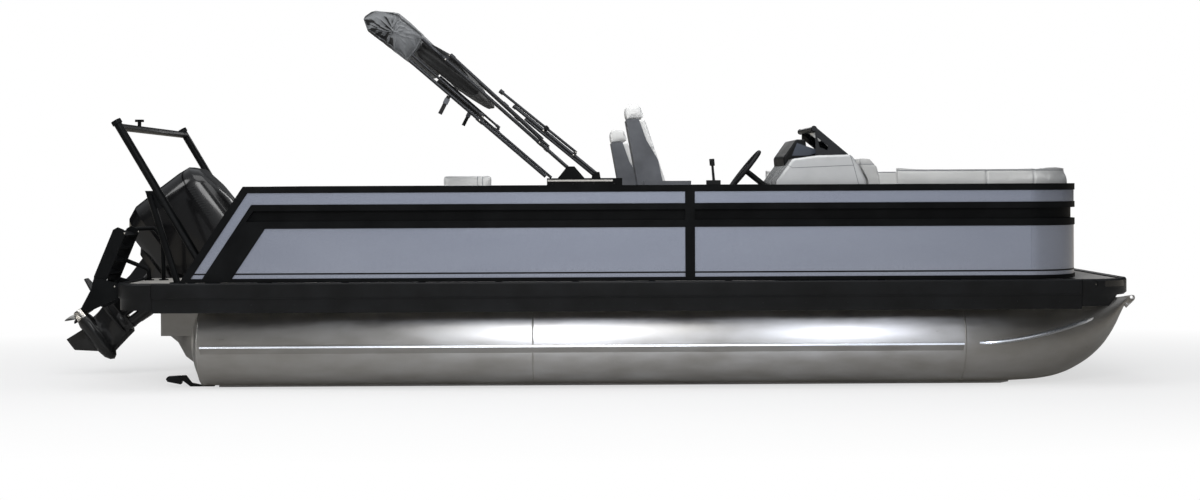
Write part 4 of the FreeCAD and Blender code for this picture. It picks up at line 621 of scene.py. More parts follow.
def marks(name, shape, runs, pitch_mm, size_mm, body, slot, finish):
    """One piece of many small shapes along lines, riding on one body."""
    values = {"Pitch": pitch_mm * MM, "Size": [side * MM for side in size_mm], "Finish": FINISH[finish]}
    piece = grown(name, MARKS[shape], values, line_of(name + "_lines", runs))
    print(name, len(piece.data.polygons), "faces")
    return settle(piece, body, FINISH[finish], smooth=50 if shape != "bar" else 30)


def screws(name, spots, radius_mm, body, slot, finish):
    """Pan heads at (place, outward) spots: each is a line shorter than the pitch, so it gets one mark."""
    runs = []
    for place, outward in spots:
        outward = Vector(outward).normalized()
        aside = outward.orthogonal().normalized() * 0.0002
        runs.append(([Vector(place) - aside, Vector(place) + aside], [outward, outward], False))
    return marks(name, "head", runs, 50, (2 * radius_mm, 2 * radius_mm, radius_mm * 1.1), body, slot, finish)


# %% Rods, sweeps and turned shapes
def rounded_path(points, bend, steps=8):
    """Straight runs with an arc at each corner, as a list of points."""
    path = [Vector(points[0])]
    for before, corner, after in zip(points, points[1:], points[2:]):
        corner = Vector(corner)
        back = (Vector(before) - corner).normalized()
        ahead = (Vector(after) - corner).normalized()
        half = back.angle(ahead) / 2
        reach = bend / math.tan(half)
        middle = corner + (back + ahead).normalized() * (bend / math.sin(half))
        start = corner + back * reach - middle
        end = corner + ahead * reach - middle
        for step in range(steps + 1):
            path.append(middle + start.slerp(end, step / steps).normalized() * start.length)
    return path + [Vector(points[-1])]


def rod(name, paths, radius, closed=False, sides=10):
    """Round bars of one radius along lists of points, as one capped mesh."""
    data = bpy.data.curves.new(name, "CURVE")
    data.dimensions = "3D"
    data.bevel_depth = radius
    data.bevel_resolution = sides // 4 + 1
    data.use_fill_caps = True
    for path in paths:
        spline = data.splines.new("POLY")
        spline.points.add(len(path) - 1)
        for point, place in zip(spline.points, path):
            point.co = (*place, 1)
        spline.use_cyclic_u = closed
    return put_mesh_of(name, data)


def put_mesh_of(name, data):
    """A curve's own mesh as a plain object."""
    curve = put(name + "_curve", data)
    graph = bpy.context.evaluated_depsgraph_get()
    mesh = bpy.data.meshes.new_from_object(curve.evaluated_get(graph))
    bpy.data.objects.remove(curve)
    return put(name, mesh)


def cut_sheet(name, loops, thick, middle, edge=0.0):
    """A flat upright plate of closed (x, z) outlines, the inner ones cut out, across Y at a place."""
    data = bpy.data.curves.new(name, "CURVE")
    data.dimensions = "2D"
    data.fill_mode = "BOTH"
    data.extrude = thick / 2 - edge
    data.bevel_depth = edge
    for loop in loops:
        spline = data.splines.new("POLY")
        spline.points.add(len(loop) - 1)
        for point, (a, b) in zip(spline.points, loop):
            point.co = (a, b, 0, 1)
        spline.use_cyclic_u = True
    piece = put_mesh_of(name, data)
    upright = Matrix.Translation((0, middle, 0)) @ Matrix.Rotation(math.pi / 2, 4, "X")
    piece.data.transform(upright)
    sewn = editable(piece.data)
    bmesh.ops.remove_doubles(sewn, verts=sewn.verts, dist=0.02 * MM)
    bmesh.ops.recalc_face_normals(sewn, faces=sewn.faces)
    sewn.to_mesh(piece.data)
    sewn.free()
    return piece


def circle_of(x, z, radius, steps=24):
    return [(x + radius * math.cos(math.tau * step / steps), z + radius * math.sin(math.tau * step / steps))
            for step in range(steps)]


def turned_shape(name, profile, places, steps=64):
    """(along, radius) profile spun about X, then placed by each matrix; one mesh."""
    sewn = bmesh.new()
    for place in places:
        rings = []
        for along, radius in profile:
            if radius < 1e-6:
                rings.append([sewn.verts.new(place @ Vector((along, 0, 0)))])
                continue
            ring = []
            for step in range(steps):
                angle = math.tau * step / steps
                spot = Vector((along, radius * math.cos(angle), radius * math.sin(angle)))
                ring.append(sewn.verts.new(place @ spot))
            rings.append(ring)
        for ring, following in zip(rings, rings[1:]):
            for step in range(steps):
                after = (step + 1) % steps
                corners = [ring[step % len(ring)], ring[after % len(ring)],
                           following[after % len(following)], following[step % len(following)]]
                unique = list(dict.fromkeys(corners))
                if len(unique) > 2:
                    sewn.faces.new(unique)
    return put(name, closed_up(name, sewn, True))


def joined(name, pieces):
    """Several objects as one mesh."""
    sewn = bmesh.new()
    for piece in pieces:
        sewn.from_mesh(piece.data)
        bpy.data.objects.remove(piece)
    return put(name, closed_up(name, sewn))


# %% [markdown]
# ## The three tubes
# A pontoon is sheet rolled to a 635 mm cylinder and welded to a two-sheet nose whose section is two
# arcs that meet at a keel and a top seam. That is a rule, so Geometry Nodes wraps a flat grid: one
# direction runs along the tube, the other round it, and two Float Curves say how the keel rises and
# the nose narrows. Welded to it are the head or cone, a keel bar, lifting strakes and the bow eye.
# %% The tree that rolls a tube
TUBE_RADIUS = 0.3175
KEEL_HIGH = 0.012
TUBE_LEVEL = TUBE_RADIUS + KEEL_HIGH
HEAD_JOINT, SHEET_JOINT, NOSE_JOINT, NOSE_LONG = -2.960, -0.492, 2.701, 1.294
NOSE_FALL, STEM_HALF = 0.008, 0.009
KEEL_RISE = ((0, 0), (0.23, 0.003), (0.36, 0.013), (0.475, 0.031), (0.59, 0.079), (0.707, 0.186),
             (0.823, 0.364), (0.905, 0.58), (0.96, 0.8), (1, 0.97))
NOSE_WIDE = ((0, 1), (0.23, 0.947), (0.36, 0.87), (0.475, 0.774), (0.59, 0.652), (0.707, 0.5),
             (0.823, 0.323), (0.905, 0.181), (0.96, 0.085), (1, 0.028))


def tube_tree():
    tree, given, result = new_tree("rolled_tube", (("Aft", "Float"), ("Side", "Float"), ("Along", "Int"),
                                                   ("Around", "Int"), ("Finish", "Material")))
    grid = add(tree, "GeometryNodeMeshGrid", {"Size X": 1.0, "Size Y": 1.0,
                                              "Vertices X": given.outputs["Along"],
                                              "Vertices Y": given.outputs["Around"]})
    split = add(tree, "ShaderNodeSeparateXYZ", {0: add(tree, "GeometryNodeInputPosition").outputs[0]})
    share = worked(tree, split.outputs[0], 0.5, "ADD")
    whole = worked(tree, NOSE_JOINT + NOSE_LONG, given.outputs["Aft"], "SUBTRACT")
    x = worked(tree, worked(tree, share, whole), given.outputs["Aft"], "ADD")
    ahead = worked(tree, worked(tree, x, NOSE_JOINT, "SUBTRACT"), NOSE_LONG, "DIVIDE")
    nose = add(tree, "ShaderNodeClamp", {"Value": ahead}).outputs[0]
    shares = []
    for stations in (KEEL_RISE, NOSE_WIDE):
        curve = add(tree, "ShaderNodeFloatCurve", {"Value": nose})
        points = curve.mapping.curves[0].points
        points[0].location, points[1].location = stations[0], stations[-1]
        for station in stations[1:-1]:
            points.new(*station)
        curve.mapping.update()
        shares.append(curve.outputs[0])
    low = worked(tree, worked(tree, shares[0], 2 * TUBE_RADIUS), KEEL_HIGH, "ADD")
    high = worked(tree, KEEL_HIGH + 2 * TUBE_RADIUS, worked(tree, nose, NOSE_FALL), "SUBTRACT")
    middle = worked(tree, worked(tree, low, high, "ADD"), 0.5)
    half = worked(tree, worked(tree, high, low, "SUBTRACT"), 0.5)
    wide = worked(tree, worked(tree, shares[1], TUBE_RADIUS), STEM_HALF, "MAXIMUM")
    wide = worked(tree, wide, half, "MINIMUM")
    squares = worked(tree, worked(tree, wide, wide), worked(tree, half, half), "ADD")
    bend = worked(tree, worked(tree, squares, wide, "DIVIDE"), 0.5)
    angle = worked(tree, worked(tree, split.outputs[1], 0.5, "ADD"), math.tau)
    upright = worked(tree, angle, 0.0, "COSINE")
    side = worked(tree, worked(tree, angle, 0.0, "SINE"), 0.0, "SIGN")
    rise = worked(tree, upright, half)
    under = worked(tree, worked(tree, bend, bend), worked(tree, rise, rise), "SUBTRACT")
    reach = worked(tree, worked(tree, under, 0.0, "MAXIMUM"), 0.0, "SQRT")
    out = worked(tree, worked(tree, worked(tree, wide, bend, "SUBTRACT"), reach, "ADD"), side)
    y = worked(tree, out, given.outputs["Side"], "ADD")
    z = worked(tree, rise, middle, "ADD")
    spot = add(tree, "ShaderNodeCombineXYZ", {0: x, 1: y, 2: z})
    wrapped = add(tree, "GeometryNodeSetPosition", {"Geometry": grid.outputs[0], "Position": spot.outputs[0]})
    sewn = add(tree, "GeometryNodeMergeByDistance", {"Geometry": wrapped.outputs[0], "Distance": 0.1 * MM})
    return painted(tree, sewn, given, result)


ROLLED = tube_tree()


def between(stations, share):
    """The straight line between stations, at a share."""
    for (start, low), (end, high) in zip(stations, stations[1:]):
        if share <= end:
            return low + (high - low) * (share - start) / (end - start)
    return stations[-1][1]


def tube_half(x, z):
    """Half width of a tube at a station and level."""
    share = min(max((x - NOSE_JOINT) / NOSE_LONG, 0), 1)
    low = KEEL_HIGH + between(KEEL_RISE, share) * 2 * TUBE_RADIUS
    high = KEEL_HIGH + 2 * TUBE_RADIUS - share * NOSE_FALL
    half = (high - low) / 2
    wide = min(max(between(NOSE_WIDE, share) * TUBE_RADIUS, STEM_HALF), half)
    bend = (wide * wide + half * half) / (2 * wide)
    rise = z - (low + high) / 2
    return wide - bend + math.sqrt(max(bend * bend - rise * rise, 0))


def strip(name, sections):
    """A solid strip through lists of section points, closed at both ends."""
    count = len(sections[0])
    places = [point for section in sections for point in section]
    faces = [tuple(range(count)), tuple((len(sections) - 1) * count + step for step in range(count))]
    for row in range(len(sections) - 1):
        for step in range(count):
            after = (step + 1) % count
            faces.append((row * count + step, row * count + after, (row + 1) * count + after,
                          (row + 1) * count + step))
    mesh = bpy.data.meshes.new(name)
    mesh.from_pydata([tuple(place) for place in places], [], faces)
    return put(name, closed_up(name, editable(mesh), True))


def strakes(side):
    """Lifting strakes on both flanks: a long folded angle whose lip is laid in brighter aluminium as a
    painted highlight, then a fin up the nose, all of it in that brighter aluminium.
    """
    made, webs = [], []
    for flank in (-1, 1):
        root, lip = TUBE_RADIUS - 0.014, TUBE_RADIUS + 0.036
        web = ((root, 0.003), (lip - 0.007, 0.0), (lip - 0.001, -0.011), (root, -0.067))
        bright = ((lip - 0.020, 0.0006), (lip - 0.0055, 0.0006), (lip, -0.0115), (lip - 0.003, -0.0125))
        # The thin lip strip goes with the fin into the brighter finish: a painted highlight on the strake's
        # upper ledge.
        for section, group in ((web, webs), (bright, made)):
            rows = [[(x, side + flank * out, TUBE_LEVEL + up) for out, up in section]
                    for x in (HEAD_JOINT + 0.03, NOSE_JOINT - 0.02)]
            group.append(strip("strake", rows))
        rows = []
        for step in range(25):
            share = step / 24
            x = NOSE_JOINT + 0.10 + share * 0.90
            z = TUBE_LEVEL + 0.004 + 0.165 * share ** 1.7
            out = tube_half(x, z)
            fade = math.sin(math.pi * min(share * 4, 1) / 2) * math.sin(math.pi * min((1 - share) * 6, 1) / 2)
            proud = 0.004 + 0.018 * fade
            rows.append([(x, side + flank * (out - 0.006), z + 0.010),
                         (x, side + flank * (out + proud - 0.005 * fade), z + 0.001),
                         (x, side + flank * (out + proud), z - 0.009),
                         (x, side + flank * (tube_half(x, z - 0.03) - 0.006), z - 0.030)])
        made.append(strip("nose_strake", rows))
    return made, webs


def bow_eye(side):
    """The stem's ear, bored for a winch hook."""
    tip = NOSE_JOINT + NOSE_LONG + 0.030
    level = KEEL_HIGH + 2 * TUBE_RADIUS - NOSE_FALL
    outline = [(tip - 0.110, level - 0.002), (tip + 0.004, level + 0.016), (tip + 0.020, level + 0.012),
               (tip + 0.026, level), (tip + 0.024, level - 0.014), (tip + 0.016, level - 0.026),
               (tip - 0.040, level - 0.080)]
    return cut_sheet("bow_eye", [outline, circle_of(tip, level, 0.013)], 0.010, side, 0.001)


def ring_of(x, radius, level, side, steps=72):
    """A closed circle round a tube, with its outward directions."""
    points, ups = [], []
    for step in range(steps):
        angle = math.tau * step / steps
        up = Vector((0, math.cos(angle), math.sin(angle)))
        ups.append(up)
        points.append(Vector((x, side, level)) + up * radius)
    return points, ups, True


HEAD = [(-0.090 * (1 - (step / 12) ** 2), TUBE_RADIUS * step / 12) for step in range(13)]
CONE = [(-3.430, 0.0), (-3.4299, 0.012), (-3.428, 0.018), (-3.355, 0.076), (-3.285, 0.190),
        (-3.110, TUBE_RADIUS)]
KEEL = [(-2.85, 0), (-2.80, 0), (3.02, 0), (3.08, 0.012), (3.08, 0.018), (-2.85, 0.018)]
for name, side in (("starboard", -0.847), ("centre", 0.0), ("port", 0.847)):
    aft = CONE[-1][0] if name == "centre" else HEAD_JOINT
    shell = grown("shell", ROLLED, {"Aft": aft, "Side": side, "Along": 240, "Around": 97,
                                    "Finish": FINISH["tube_aluminium"]})
    place = Matrix.Translation((0 if name == "centre" else HEAD_JOINT, side, TUBE_LEVEL))
    end = turned_shape("end", CONE if name == "centre" else HEAD, [place], 96)
    keel = cut_sheet("keel", [KEEL], 0.07, side, 0.001)
    lips, webs = strakes(side)
    whole = joined(f"pontoon_{name}_shell", [shell, end, keel, bow_eye(side)] + webs)
    held_in(whole, f"pontoon_{name}")
    TUBES.objects.link(whole)
    # Strake lips and nose fins in brighter aluminium than the tube: a painted highlight.
    lip = settle(joined(f"pontoon_{name}_strakes", lips), "root", FINISH["painted_highlight_aluminium"])
    TUBES.objects.link(lip)
    settle(whole, "root", FINISH["tube_aluminium"], (f"pontoon_{name}",), 32)
    seams = [ring_of(x, TUBE_RADIUS + 0.0005, TUBE_LEVEL, side) for x in (aft, SHEET_JOINT, NOSE_JOINT)]
    marks(f"pontoon_{name}_welds", "bead", seams, 7, (10, 15, 4), "root", "tube_aluminium", "tube_aluminium")


# %% [markdown]
# ## Upholstery
# Marine seats are vinyl sewn over foam: flat-bottomed, crowned, pulled in at the corners and ruled
# by piped seams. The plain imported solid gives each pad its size. A copy of it is drawn in a little,
# remeshed evenly and blown up by a cloth simulation, with a cap on how far a point may go, so it
# swells back into its own space. Seams come after that: each is a plane through the pad, which
# presses a groove into the skin and lays a welt or a row of stitches along its cut.
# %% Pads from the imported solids
def islands(node):
    """The separate solids of a node, as plain meshes ordered from stern to bow."""
    sewn = merged(node)
    left = set(sewn.faces)
    parts = []
    while left:
        group = {left.pop()}
        edge_of_group = list(group)
        while edge_of_group:
            face = edge_of_group.pop()
            near = {other for side in face.edges for other in side.link_faces} & left
            left -= near
            group |= near
            edge_of_group += near
        corners = list({corner for face in group for corner in face.verts})
        number = {corner: place for place, corner in enumerate(corners)}
        mesh = bpy.data.meshes.new(node + "_solid")
        mesh.from_pydata([corner.co[:] for corner in corners], [],
                         [[number[corner] for corner in face.verts] for face in group])
        parts.append(mesh)
    sewn.free()
    return sorted(parts, key=lambda mesh: round(min(vert.co.x for vert in mesh.vertices), 3))


def drawn_in(mesh, voxel_mm, swell_mm, name, rounding=2):
    """The solid remeshed evenly, with its skin moved in by the swell to come."""
    thing = put(name, mesh)
    grid = thing.modifiers.new("grid", "REMESH")
    grid.mode = "VOXEL"
    grid.voxel_size = voxel_mm * MM
    baked(thing)
    sewn = editable(thing.data)
    for _ in range(rounding):
        bmesh.ops.smooth_vert(sewn, verts=sewn.verts, factor=0.5,
                              use_axis_x=True, use_axis_y=True, use_axis_z=True)
    sewn.normal_update()
    moves = [(vert, vert.co - vert.normal * swell_mm * MM) for vert in sewn.verts]
    for vert, place in moves:
        vert.co = place
    sewn.to_mesh(thing.data)
    sewn.free()
    return thing


def blown(things, swells_mm, pressure=4.0):
    """Swells every pad at once with Cloth, then holds each point within its cap."""
    before = [[vert.co.copy() for vert in thing.data.vertices] for thing in things]
    for thing in things:
        cloth = thing.modifiers.new("swell", "CLOTH")
        cloth.settings.use_pressure = True
        cloth.settings.uniform_pressure_force = pressure
        cloth.settings.effector_weights.gravity = 0.0
        cloth.settings.quality = 4
        cloth.settings.mass = 0.35
        cloth.settings.tension_stiffness = cloth.settings.compression_stiffness = 12
        cloth.settings.bending_stiffness = 0.6
        cloth.point_cache.frame_start, cloth.point_cache.frame_end = 1, 20
    for step in range(1, 21):
        bpy.context.scene.frame_set(step)
    for thing, first, swell in zip(things, before, swells_mm):
        baked(thing)
        for vert, start in zip(thing.data.vertices, first):
            move = vert.co - start
            if move.length > swell * MM:
                vert.co = start + move.normalized() * swell * MM
    bpy.context.scene.frame_set(1)


def within(spot, box):
    return box is None or all(low <= value <= high for low, value, high in zip(box[0], spot, box[1]))


def seam_runs(sewn, place, normal, box, lift_mm):
    """The closed lines where a plane cuts a skin, lifted off it, with the skin's normals."""
    cut = sewn.copy()
    found = bmesh.ops.bisect_plane(cut, geom=cut.verts[:] + cut.edges[:] + cut.faces[:], plane_co=place,
                                   plane_no=normal, dist=1e-6)["geom_cut"]
    cut.normal_update()
    edges = {item for item in found if isinstance(item, bmesh.types.BMEdge)}
    runs = []
    while edges:
        edge = edges.pop()
        chain = [edge.verts[0], edge.verts[1]]
        for grow_end in (True, False):
            while True:
                tip = chain[-1] if grow_end else chain[0]
                ahead = next((other for other in tip.link_edges if other in edges), None)
                if ahead is None:
                    break
                edges.discard(ahead)
                chain.insert(len(chain) if grow_end else 0, ahead.other_vert(tip))
        points, ups = [], []
        for vert in chain:
            if within(vert.co, box):
                points.append(vert.co + vert.normal * lift_mm * MM)
                ups.append(vert.normal.copy())
            else:
                if len(points) > 2:
                    runs.append((points, ups, False))
                points, ups = [], []
        if len(points) > 2:
            closed = (points[0] - points[-1]).length < 0.03
            runs.append((points, ups, closed))
    cut.free()
    return runs


def grooved(thing, seams, wide_mm=9.0):
    """Presses each seam into the skin after one subdivision; gives welt lines and stitch lines."""
    finer = thing.modifiers.new("finer", "SUBSURF")
    finer.levels = finer.render_levels = 1
    baked(thing)
    sewn = editable(thing.data)
    sewn.normal_update()
    moves = []
    for vert in sewn.verts:
        push = 0.0
        for place, normal, depth_mm, kind, box in seams:
            if not within(vert.co, box):
                continue
            away = abs((vert.co - Vector(place)).dot(Vector(normal))) / (wide_mm * MM)
            push = max(push, depth_mm * math.exp(-away * away))
        if push:
            moves.append((vert, vert.co - vert.normal * push * MM))
    for vert, place in moves:
        vert.co = place
    sewn.normal_update()
    welts, stitches = [], []
    for place, normal, depth_mm, kind, box in seams:
        if kind == "welt":
            welts += seam_runs(sewn, Vector(place), Vector(normal), box, 0.8)
        else:
            aside = Vector(normal).normalized() * 5 * MM
            for offset in ((aside, -aside) if kind == "double" else (aside,)):
                stitches += seam_runs(sewn, Vector(place) + offset, Vector(normal), box, 0.3)
    sewn.to_mesh(thing.data)
    sewn.free()
    return welts, stitches


# %% The list of pads, with the seams of each
LOUNGE_SEATS, LOUNGE_BACKS = islands("lounge_seats"), islands("lounge_backs")
ACROSS, ALONG, LEVEL = (0, 1, 0), (1, 0, 0), (0, 0, 1)


def box_of(mesh):
    spots = [vert.co for vert in mesh.vertices]
    return [[min(spot[axis] for spot in spots) for axis in AXES],
            [max(spot[axis] for spot in spots) for axis in AXES]]


def ruled(mesh, lows, level_drop_mm, across=()):
    """Piped top edge and end seams for a bolster: X stations, then Y stations."""
    low, high = box_of(mesh)
    seams = [((0, 0, high[2] - level_drop_mm * MM), LEVEL, 4.0, "welt", None)]
    seams += [((station, 0, 0), ALONG, 6.0, "double", None) for station in lows]
    seams += [((0, station, 0), ACROSS, 6.0, "double", None) for station in across]
    return seams


LOUNGE_VOXEL_MM, CHAIR_VOXEL_MM = 15.0, 8.0
PADS = []
for number, mesh in enumerate(LOUNGE_SEATS):
    stations, rows = (((-1.9, -1.45), (0.0,)), ((1.95, 2.6), ()), ((2.72,), ()))[number]
    PADS.append((f"lounge_seat_{number + 1}", "root", "lounge_seats", mesh, LOUNGE_VOXEL_MM, 14.0, 0.8,
                 ruled(mesh, stations, 26, rows)))
for number, mesh in enumerate(LOUNGE_BACKS):
    low, high = box_of(mesh)
    if low[0] > 2 and high[1] < 0:
        seams = ruled(mesh, (2.85, 3.199), 40)
    elif low[0] > 1.4 and low[1] > 0:
        seams = ruled(mesh, (2.1, 2.85, 3.199), 40)
    elif low[0] > 1.8:
        seams = [((0, 0, 1.648), LEVEL, 3.0, "welt", None), ((0, -0.81, 0), ACROSS, 5.0, "double", None)]
    elif high[2] < 1.55:
        seams = ruled(mesh, (-1.9,), 40, (0.34,))
    else:
        seams = [((-0.985, 0, 0), ALONG, 5.0, "welt", None), ((-1.03, 0, 0), ALONG, 3.0, "welt", None)]
    PADS.append((f"lounge_back_{number + 1}", "root", "lounge_backs", mesh, LOUNGE_VOXEL_MM, 16.0, 0.85,
                 seams))
for side in ("starboard", "port"):
    node = f"chair_{side}_cushions"
    for number, mesh in enumerate(islands(node)):
        low, high = box_of(mesh)
        middle = (low[1] + high[1]) / 2
        tall = high[2] - low[2] > 0.3
        seams = [((0, middle + offset, 0), ACROSS, 4.0, "welt", None) for offset in (0.125, -0.125)]
        if tall:
            seams += [((0, 0, high[2] - 0.125), (0.25, 0, 1), 4.0, "double", None),
                      ((0, 0, high[2] - 0.36), (0.3, 0, 1), 3.5, "double", None)]
        else:
            seams.append((((low[0] + high[0]) / 2 + 0.05, 0, 0), ALONG, 3.0, "double", None))
        PADS.append((f"chair_{side}_{'back' if tall else 'seat'}_pad", f"chair_{side}", node, mesh,
                     CHAIR_VOXEL_MM, 6.0, 0.8, seams))

PILLOWS = {name for name, body, node, mesh, *rest in PADS
           if node == "lounge_backs" and box_of(mesh)[1][2] > 1.55 and box_of(mesh)[0][0] < 0}


# %% Blow them up and sew them
pads = [drawn_in(mesh, voxel, swell, name, 22 if name in PILLOWS else 2)
        for name, body, node, mesh, voxel, swell, fill, seams in PADS]
blown(pads, [pad[5] for pad in PADS])
for thing, (name, body, node, mesh, voxel, swell, fill, seams) in zip(pads, PADS):
    welts, stitches = grooved(thing, seams)
    forward = node.startswith("lounge") and min(vert.co.x for vert in thing.data.vertices) > 1.0
    # The forward lounge pads take the darker copy of the white vinyl: painted shade.
    settle(thing, body, FINISH["vinyl_white_shaded" if forward else "vinyl_white"], (node,), 60)
    closed = [run for run in welts if run[2]]
    opened = [run for run in welts if not run[2]]
    cords = [rod(name + "_welt", [run[0] for run in group], 2.6 * MM, shut, 8)
             for group, shut in ((closed, True), (opened, False)) if group]
    if cords:
        settle(joined(name + "_welts", cords), body, FINISH["vinyl_grey"], (), 60)
    if stitches:
        marks(name + "_stitches", "bar", stitches, 9, (5.5, 1.6, 1.2), body, "vinyl_white", "vinyl_grey")
    print(name, len(thing.data.polygons), "faces")

# %% [markdown]
# ## The folded canopy
# The canopy is stowed: its top is rolled round the bows under a zipped boot, and a hank of canvas
# hangs in accordion folds between the legs. Both are stretched between two sides 2.4 metres apart,
# so each is one closed sheet lofted through cross sections, with ripples that run across the boat,
# gathers that fan out over the drawn ends, and a cloth simulation that slackens it all.
# %% Sheets lofted across the boat
def resampled(outline, count, bend):
    """A closed outline with rounded corners, at even steps."""
    ring = [Vector((x, 0, z)) for x, z in outline]
    path = rounded_path([(ring[-1] + ring[0]) / 2] + ring + [(ring[-1] + ring[0]) / 2], bend, 6)[:-1]
    lengths = [0.0]
    for first, second in zip(path, path[1:] + path[:1]):
        lengths.append(lengths[-1] + (second - first).length)
    even = []
    spot = 0
    for step in range(count):
        target = lengths[-1] * step / count
        while lengths[spot + 1] < target:
            spot += 1
        share = (target - lengths[spot]) / max(lengths[spot + 1] - lengths[spot], 1e-9)
        even.append(path[spot].lerp(path[(spot + 1) % len(path)], share))
    return even


def lofted(name, outline, half, count, rows, bend, end_mm, shape):
    """A closed skin of one outline across the boat, domed at its ends. The given shape moves its points."""
    ring = resampled(outline, count, bend)
    centre = sum(ring, Vector()) / len(ring)
    dome = end_mm * MM
    loops = [(-half + dome + 2 * (half - dome) * step / rows, 1.0) for step in range(rows + 1)]
    closing = [0.985, 0.95, 0.88, 0.78, 0.66, 0.52, 0.38, 0.24, 0.12]
    loops = ([(-half + dome * share ** 3, share) for share in reversed(closing)] + loops
             + [(half - dome * share ** 3, share) for share in closing])
    sewn = bmesh.new()
    made = []
    for y, share in loops:
        row = []
        for place, spot in enumerate(ring):
            near = centre + (spot - centre) * share
            row.append(sewn.verts.new(shape(Vector((near.x, y, near.z)), place / count, share)))
        made.append(row)
    for row, following in zip(made, made[1:]):
        for place in range(count):
            after = (place + 1) % count
            sewn.faces.new((row[place], row[after], following[after], following[place]))
    sewn.faces.new(made[0])
    sewn.faces.new(list(reversed(made[-1])))
    bmesh.ops.triangulate(sewn, faces=[face for face in sewn.faces if len(face.verts) > 4])
    return put(name, closed_up(name, sewn, True))


# %% The boot over the rolled top
BOOT_SIDE = ((-1.729, 2.746), (-1.667, 2.778), (-1.469, 2.771), (-1.285, 2.598), (-1.391, 2.416),
             (-1.702, 2.656))
GATHER_FROM = Vector((-1.470, 0, 2.756))


def crease(turn):
    """A rounded ridge between sharp valleys."""
    return 1 - 2 * abs(math.sin(turn / 2)) ** 0.6


def boot_shape(spot, turn, share):
    """Slack ripples along the boot, and a fan of gathers drawn in at its ends."""
    out = Vector((spot.x + 1.51, 0, spot.z - 2.62)).normalized()
    slack = noise.noise(Vector((spot.x * 5, spot.y * 1.6, spot.z * 5)))
    fold = noise.noise(Vector((turn * 26, spot.y * 2.2, 3.1)))
    near_end = min(max(0.0, (abs(spot.y) - 0.98) / 0.2), 1)
    away = spot - GATHER_FROM
    fan = math.atan2(away.z, away.x)
    wander = 1.9 * noise.noise(Vector((spot.x * 7, 1.3, spot.z * 7)))
    gathers = crease(fan * 23 + wander) * near_end * min(away.length / 0.14, 1)
    if share < 0.999:
        side = 1 if spot.y > 0 else -1
        spot.y -= side * (0.012 - 0.012 * gathers - 0.006 * noise.noise(spot * 8))
    return spot + out * (0.006 * slack + 0.004 * fold + 0.004 * gathers) * share


boot = lofted("bimini_boot_cloth", BOOT_SIDE, 1.240, 150, 110, 0.026, 34, boot_shape)

# %% The hank of canvas between the legs
HANK_SIDE = ((-1.288, 2.568), (-1.078, 2.456), (-0.866, 2.180), (-0.917, 2.160), (-1.092, 2.268),
             (-1.336, 2.472))


def hank_shape(spot, turn, share):
    """Accordion folds that run across the boat, hanging lower between the sides."""
    out = Vector((spot.x + 1.09, 0, spot.z - 2.36)).normalized()
    down = Vector((0.799, 0, -0.602))
    depth = (spot - Vector((-1.32, 0, 2.53))).dot(Vector((0.602, 0, 0.799)))
    folds = math.sin(depth * 175 + 3 * noise.noise(Vector((spot.x * 2, spot.y * 0.8, 0))))
    slack = 0.018 * math.cos(min(abs(spot.y) / 1.19, 1) * math.pi / 2)
    sag = slack * noise.noise(Vector((spot.y * 2, turn * 9, 1)))
    if share < 0.999:
        side = 1 if spot.y > 0 else -1
        spot.y -= side * (0.010 + 0.010 * folds)
    return spot + down * 0.010 * folds * share + out * sag


hank = lofted("bimini_canvas_cloth", HANK_SIDE, 1.186, 90, 90, 0.014, 24, hank_shape)
canvases = [boot, hank]
blown(canvases, [9.0, 8.0], 1.2)
for thing, node in ((boot, "bimini_boot"), (hank, "bimini_canvas")):
    finer = thing.modifiers.new("finer", "SUBSURF")
    finer.levels = finer.render_levels = 1
    baked(thing)
    held_in(thing, node, 5.0 if thing is boot else -2.0)
    cloth = FINISH["canvas_grey" if thing is boot else "canvas_black"]
    settle(thing, "bimini", cloth, (node,), 70)
    print(thing.name, len(thing.data.polygons), "faces")
# Boot faces that look down and aft get the black canvas instead of the grey: painted shade on the boot's
# underside.
boot.data.materials.append(FINISH["canvas_black"])
painted_shade_underside = Vector((-0.62, 0, -0.78))
for face in boot.data.polygons:
    if face.center.x < -1.5 and face.normal.dot(painted_shade_underside) > 0.35:
        face.material_index = 1

# %% Boot seams, zip and straps
sewn = editable(boot.data)
sewn.normal_update()
rows = []
for station in (-1.195, 1.195, 0):
    for offset in (-0.004, 0.004):
        rows += seam_runs(sewn, Vector((0, station + offset, 0)), Vector((0, 1, 0)), None, 0.4)
zip_rows = seam_runs(sewn, Vector((-1.60, 0, 2.60)), Vector((0.35, 0, 1)).normalized(),
                     ([-1.75, -1.24, 2.4], [-1.55, 1.24, 2.72]), 0.6)
sewn.free()
marks("bimini_boot_stitches", "bar", rows, 8, (5, 1.4, 1.0), "bimini", "canvas_black", "trim_black")
marks("bimini_boot_zip", "bar", zip_rows, 4, (2.4, 7, 2.4), "bimini", "canvas_black", "wheel_black")

# %% [markdown]
# ## Fittings and trim
# Small parts are found where they sit: a straight line is sent at the dressed piece from outside,
# and the fitting is stood on the skin at the point it meets, along the skin's own normal. Stripes
# are cut from the panel's own skin between two levels, so they follow its bends exactly.
# %% Ways to place trim on a skin
SKIN_TREES = {}


def touch(node, origin, heading):
    """Where a line first meets a dressed node, and the skin's normal there."""
    if node not in SKIN_TREES:
        mesh = skins[node].data
        SKIN_TREES[node] = BVHTree.FromPolygons([vert.co.copy() for vert in mesh.vertices],
                                                [list(face.vertices) for face in mesh.polygons])
    spot, normal, _, _ = SKIN_TREES[node].ray_cast(Vector(origin), Vector(heading))
    return spot, normal


def on_side(node, x, z, side=-1, lift_mm=0.0):
    """The outermost point of a node at a station and level, seen from one side of the boat."""
    spot, normal = touch(node, (x, side * 3, z), (0, -side, 0))
    if spot is None:
        return None
    return spot + Vector((0, side, 0)) * lift_mm * MM, normal


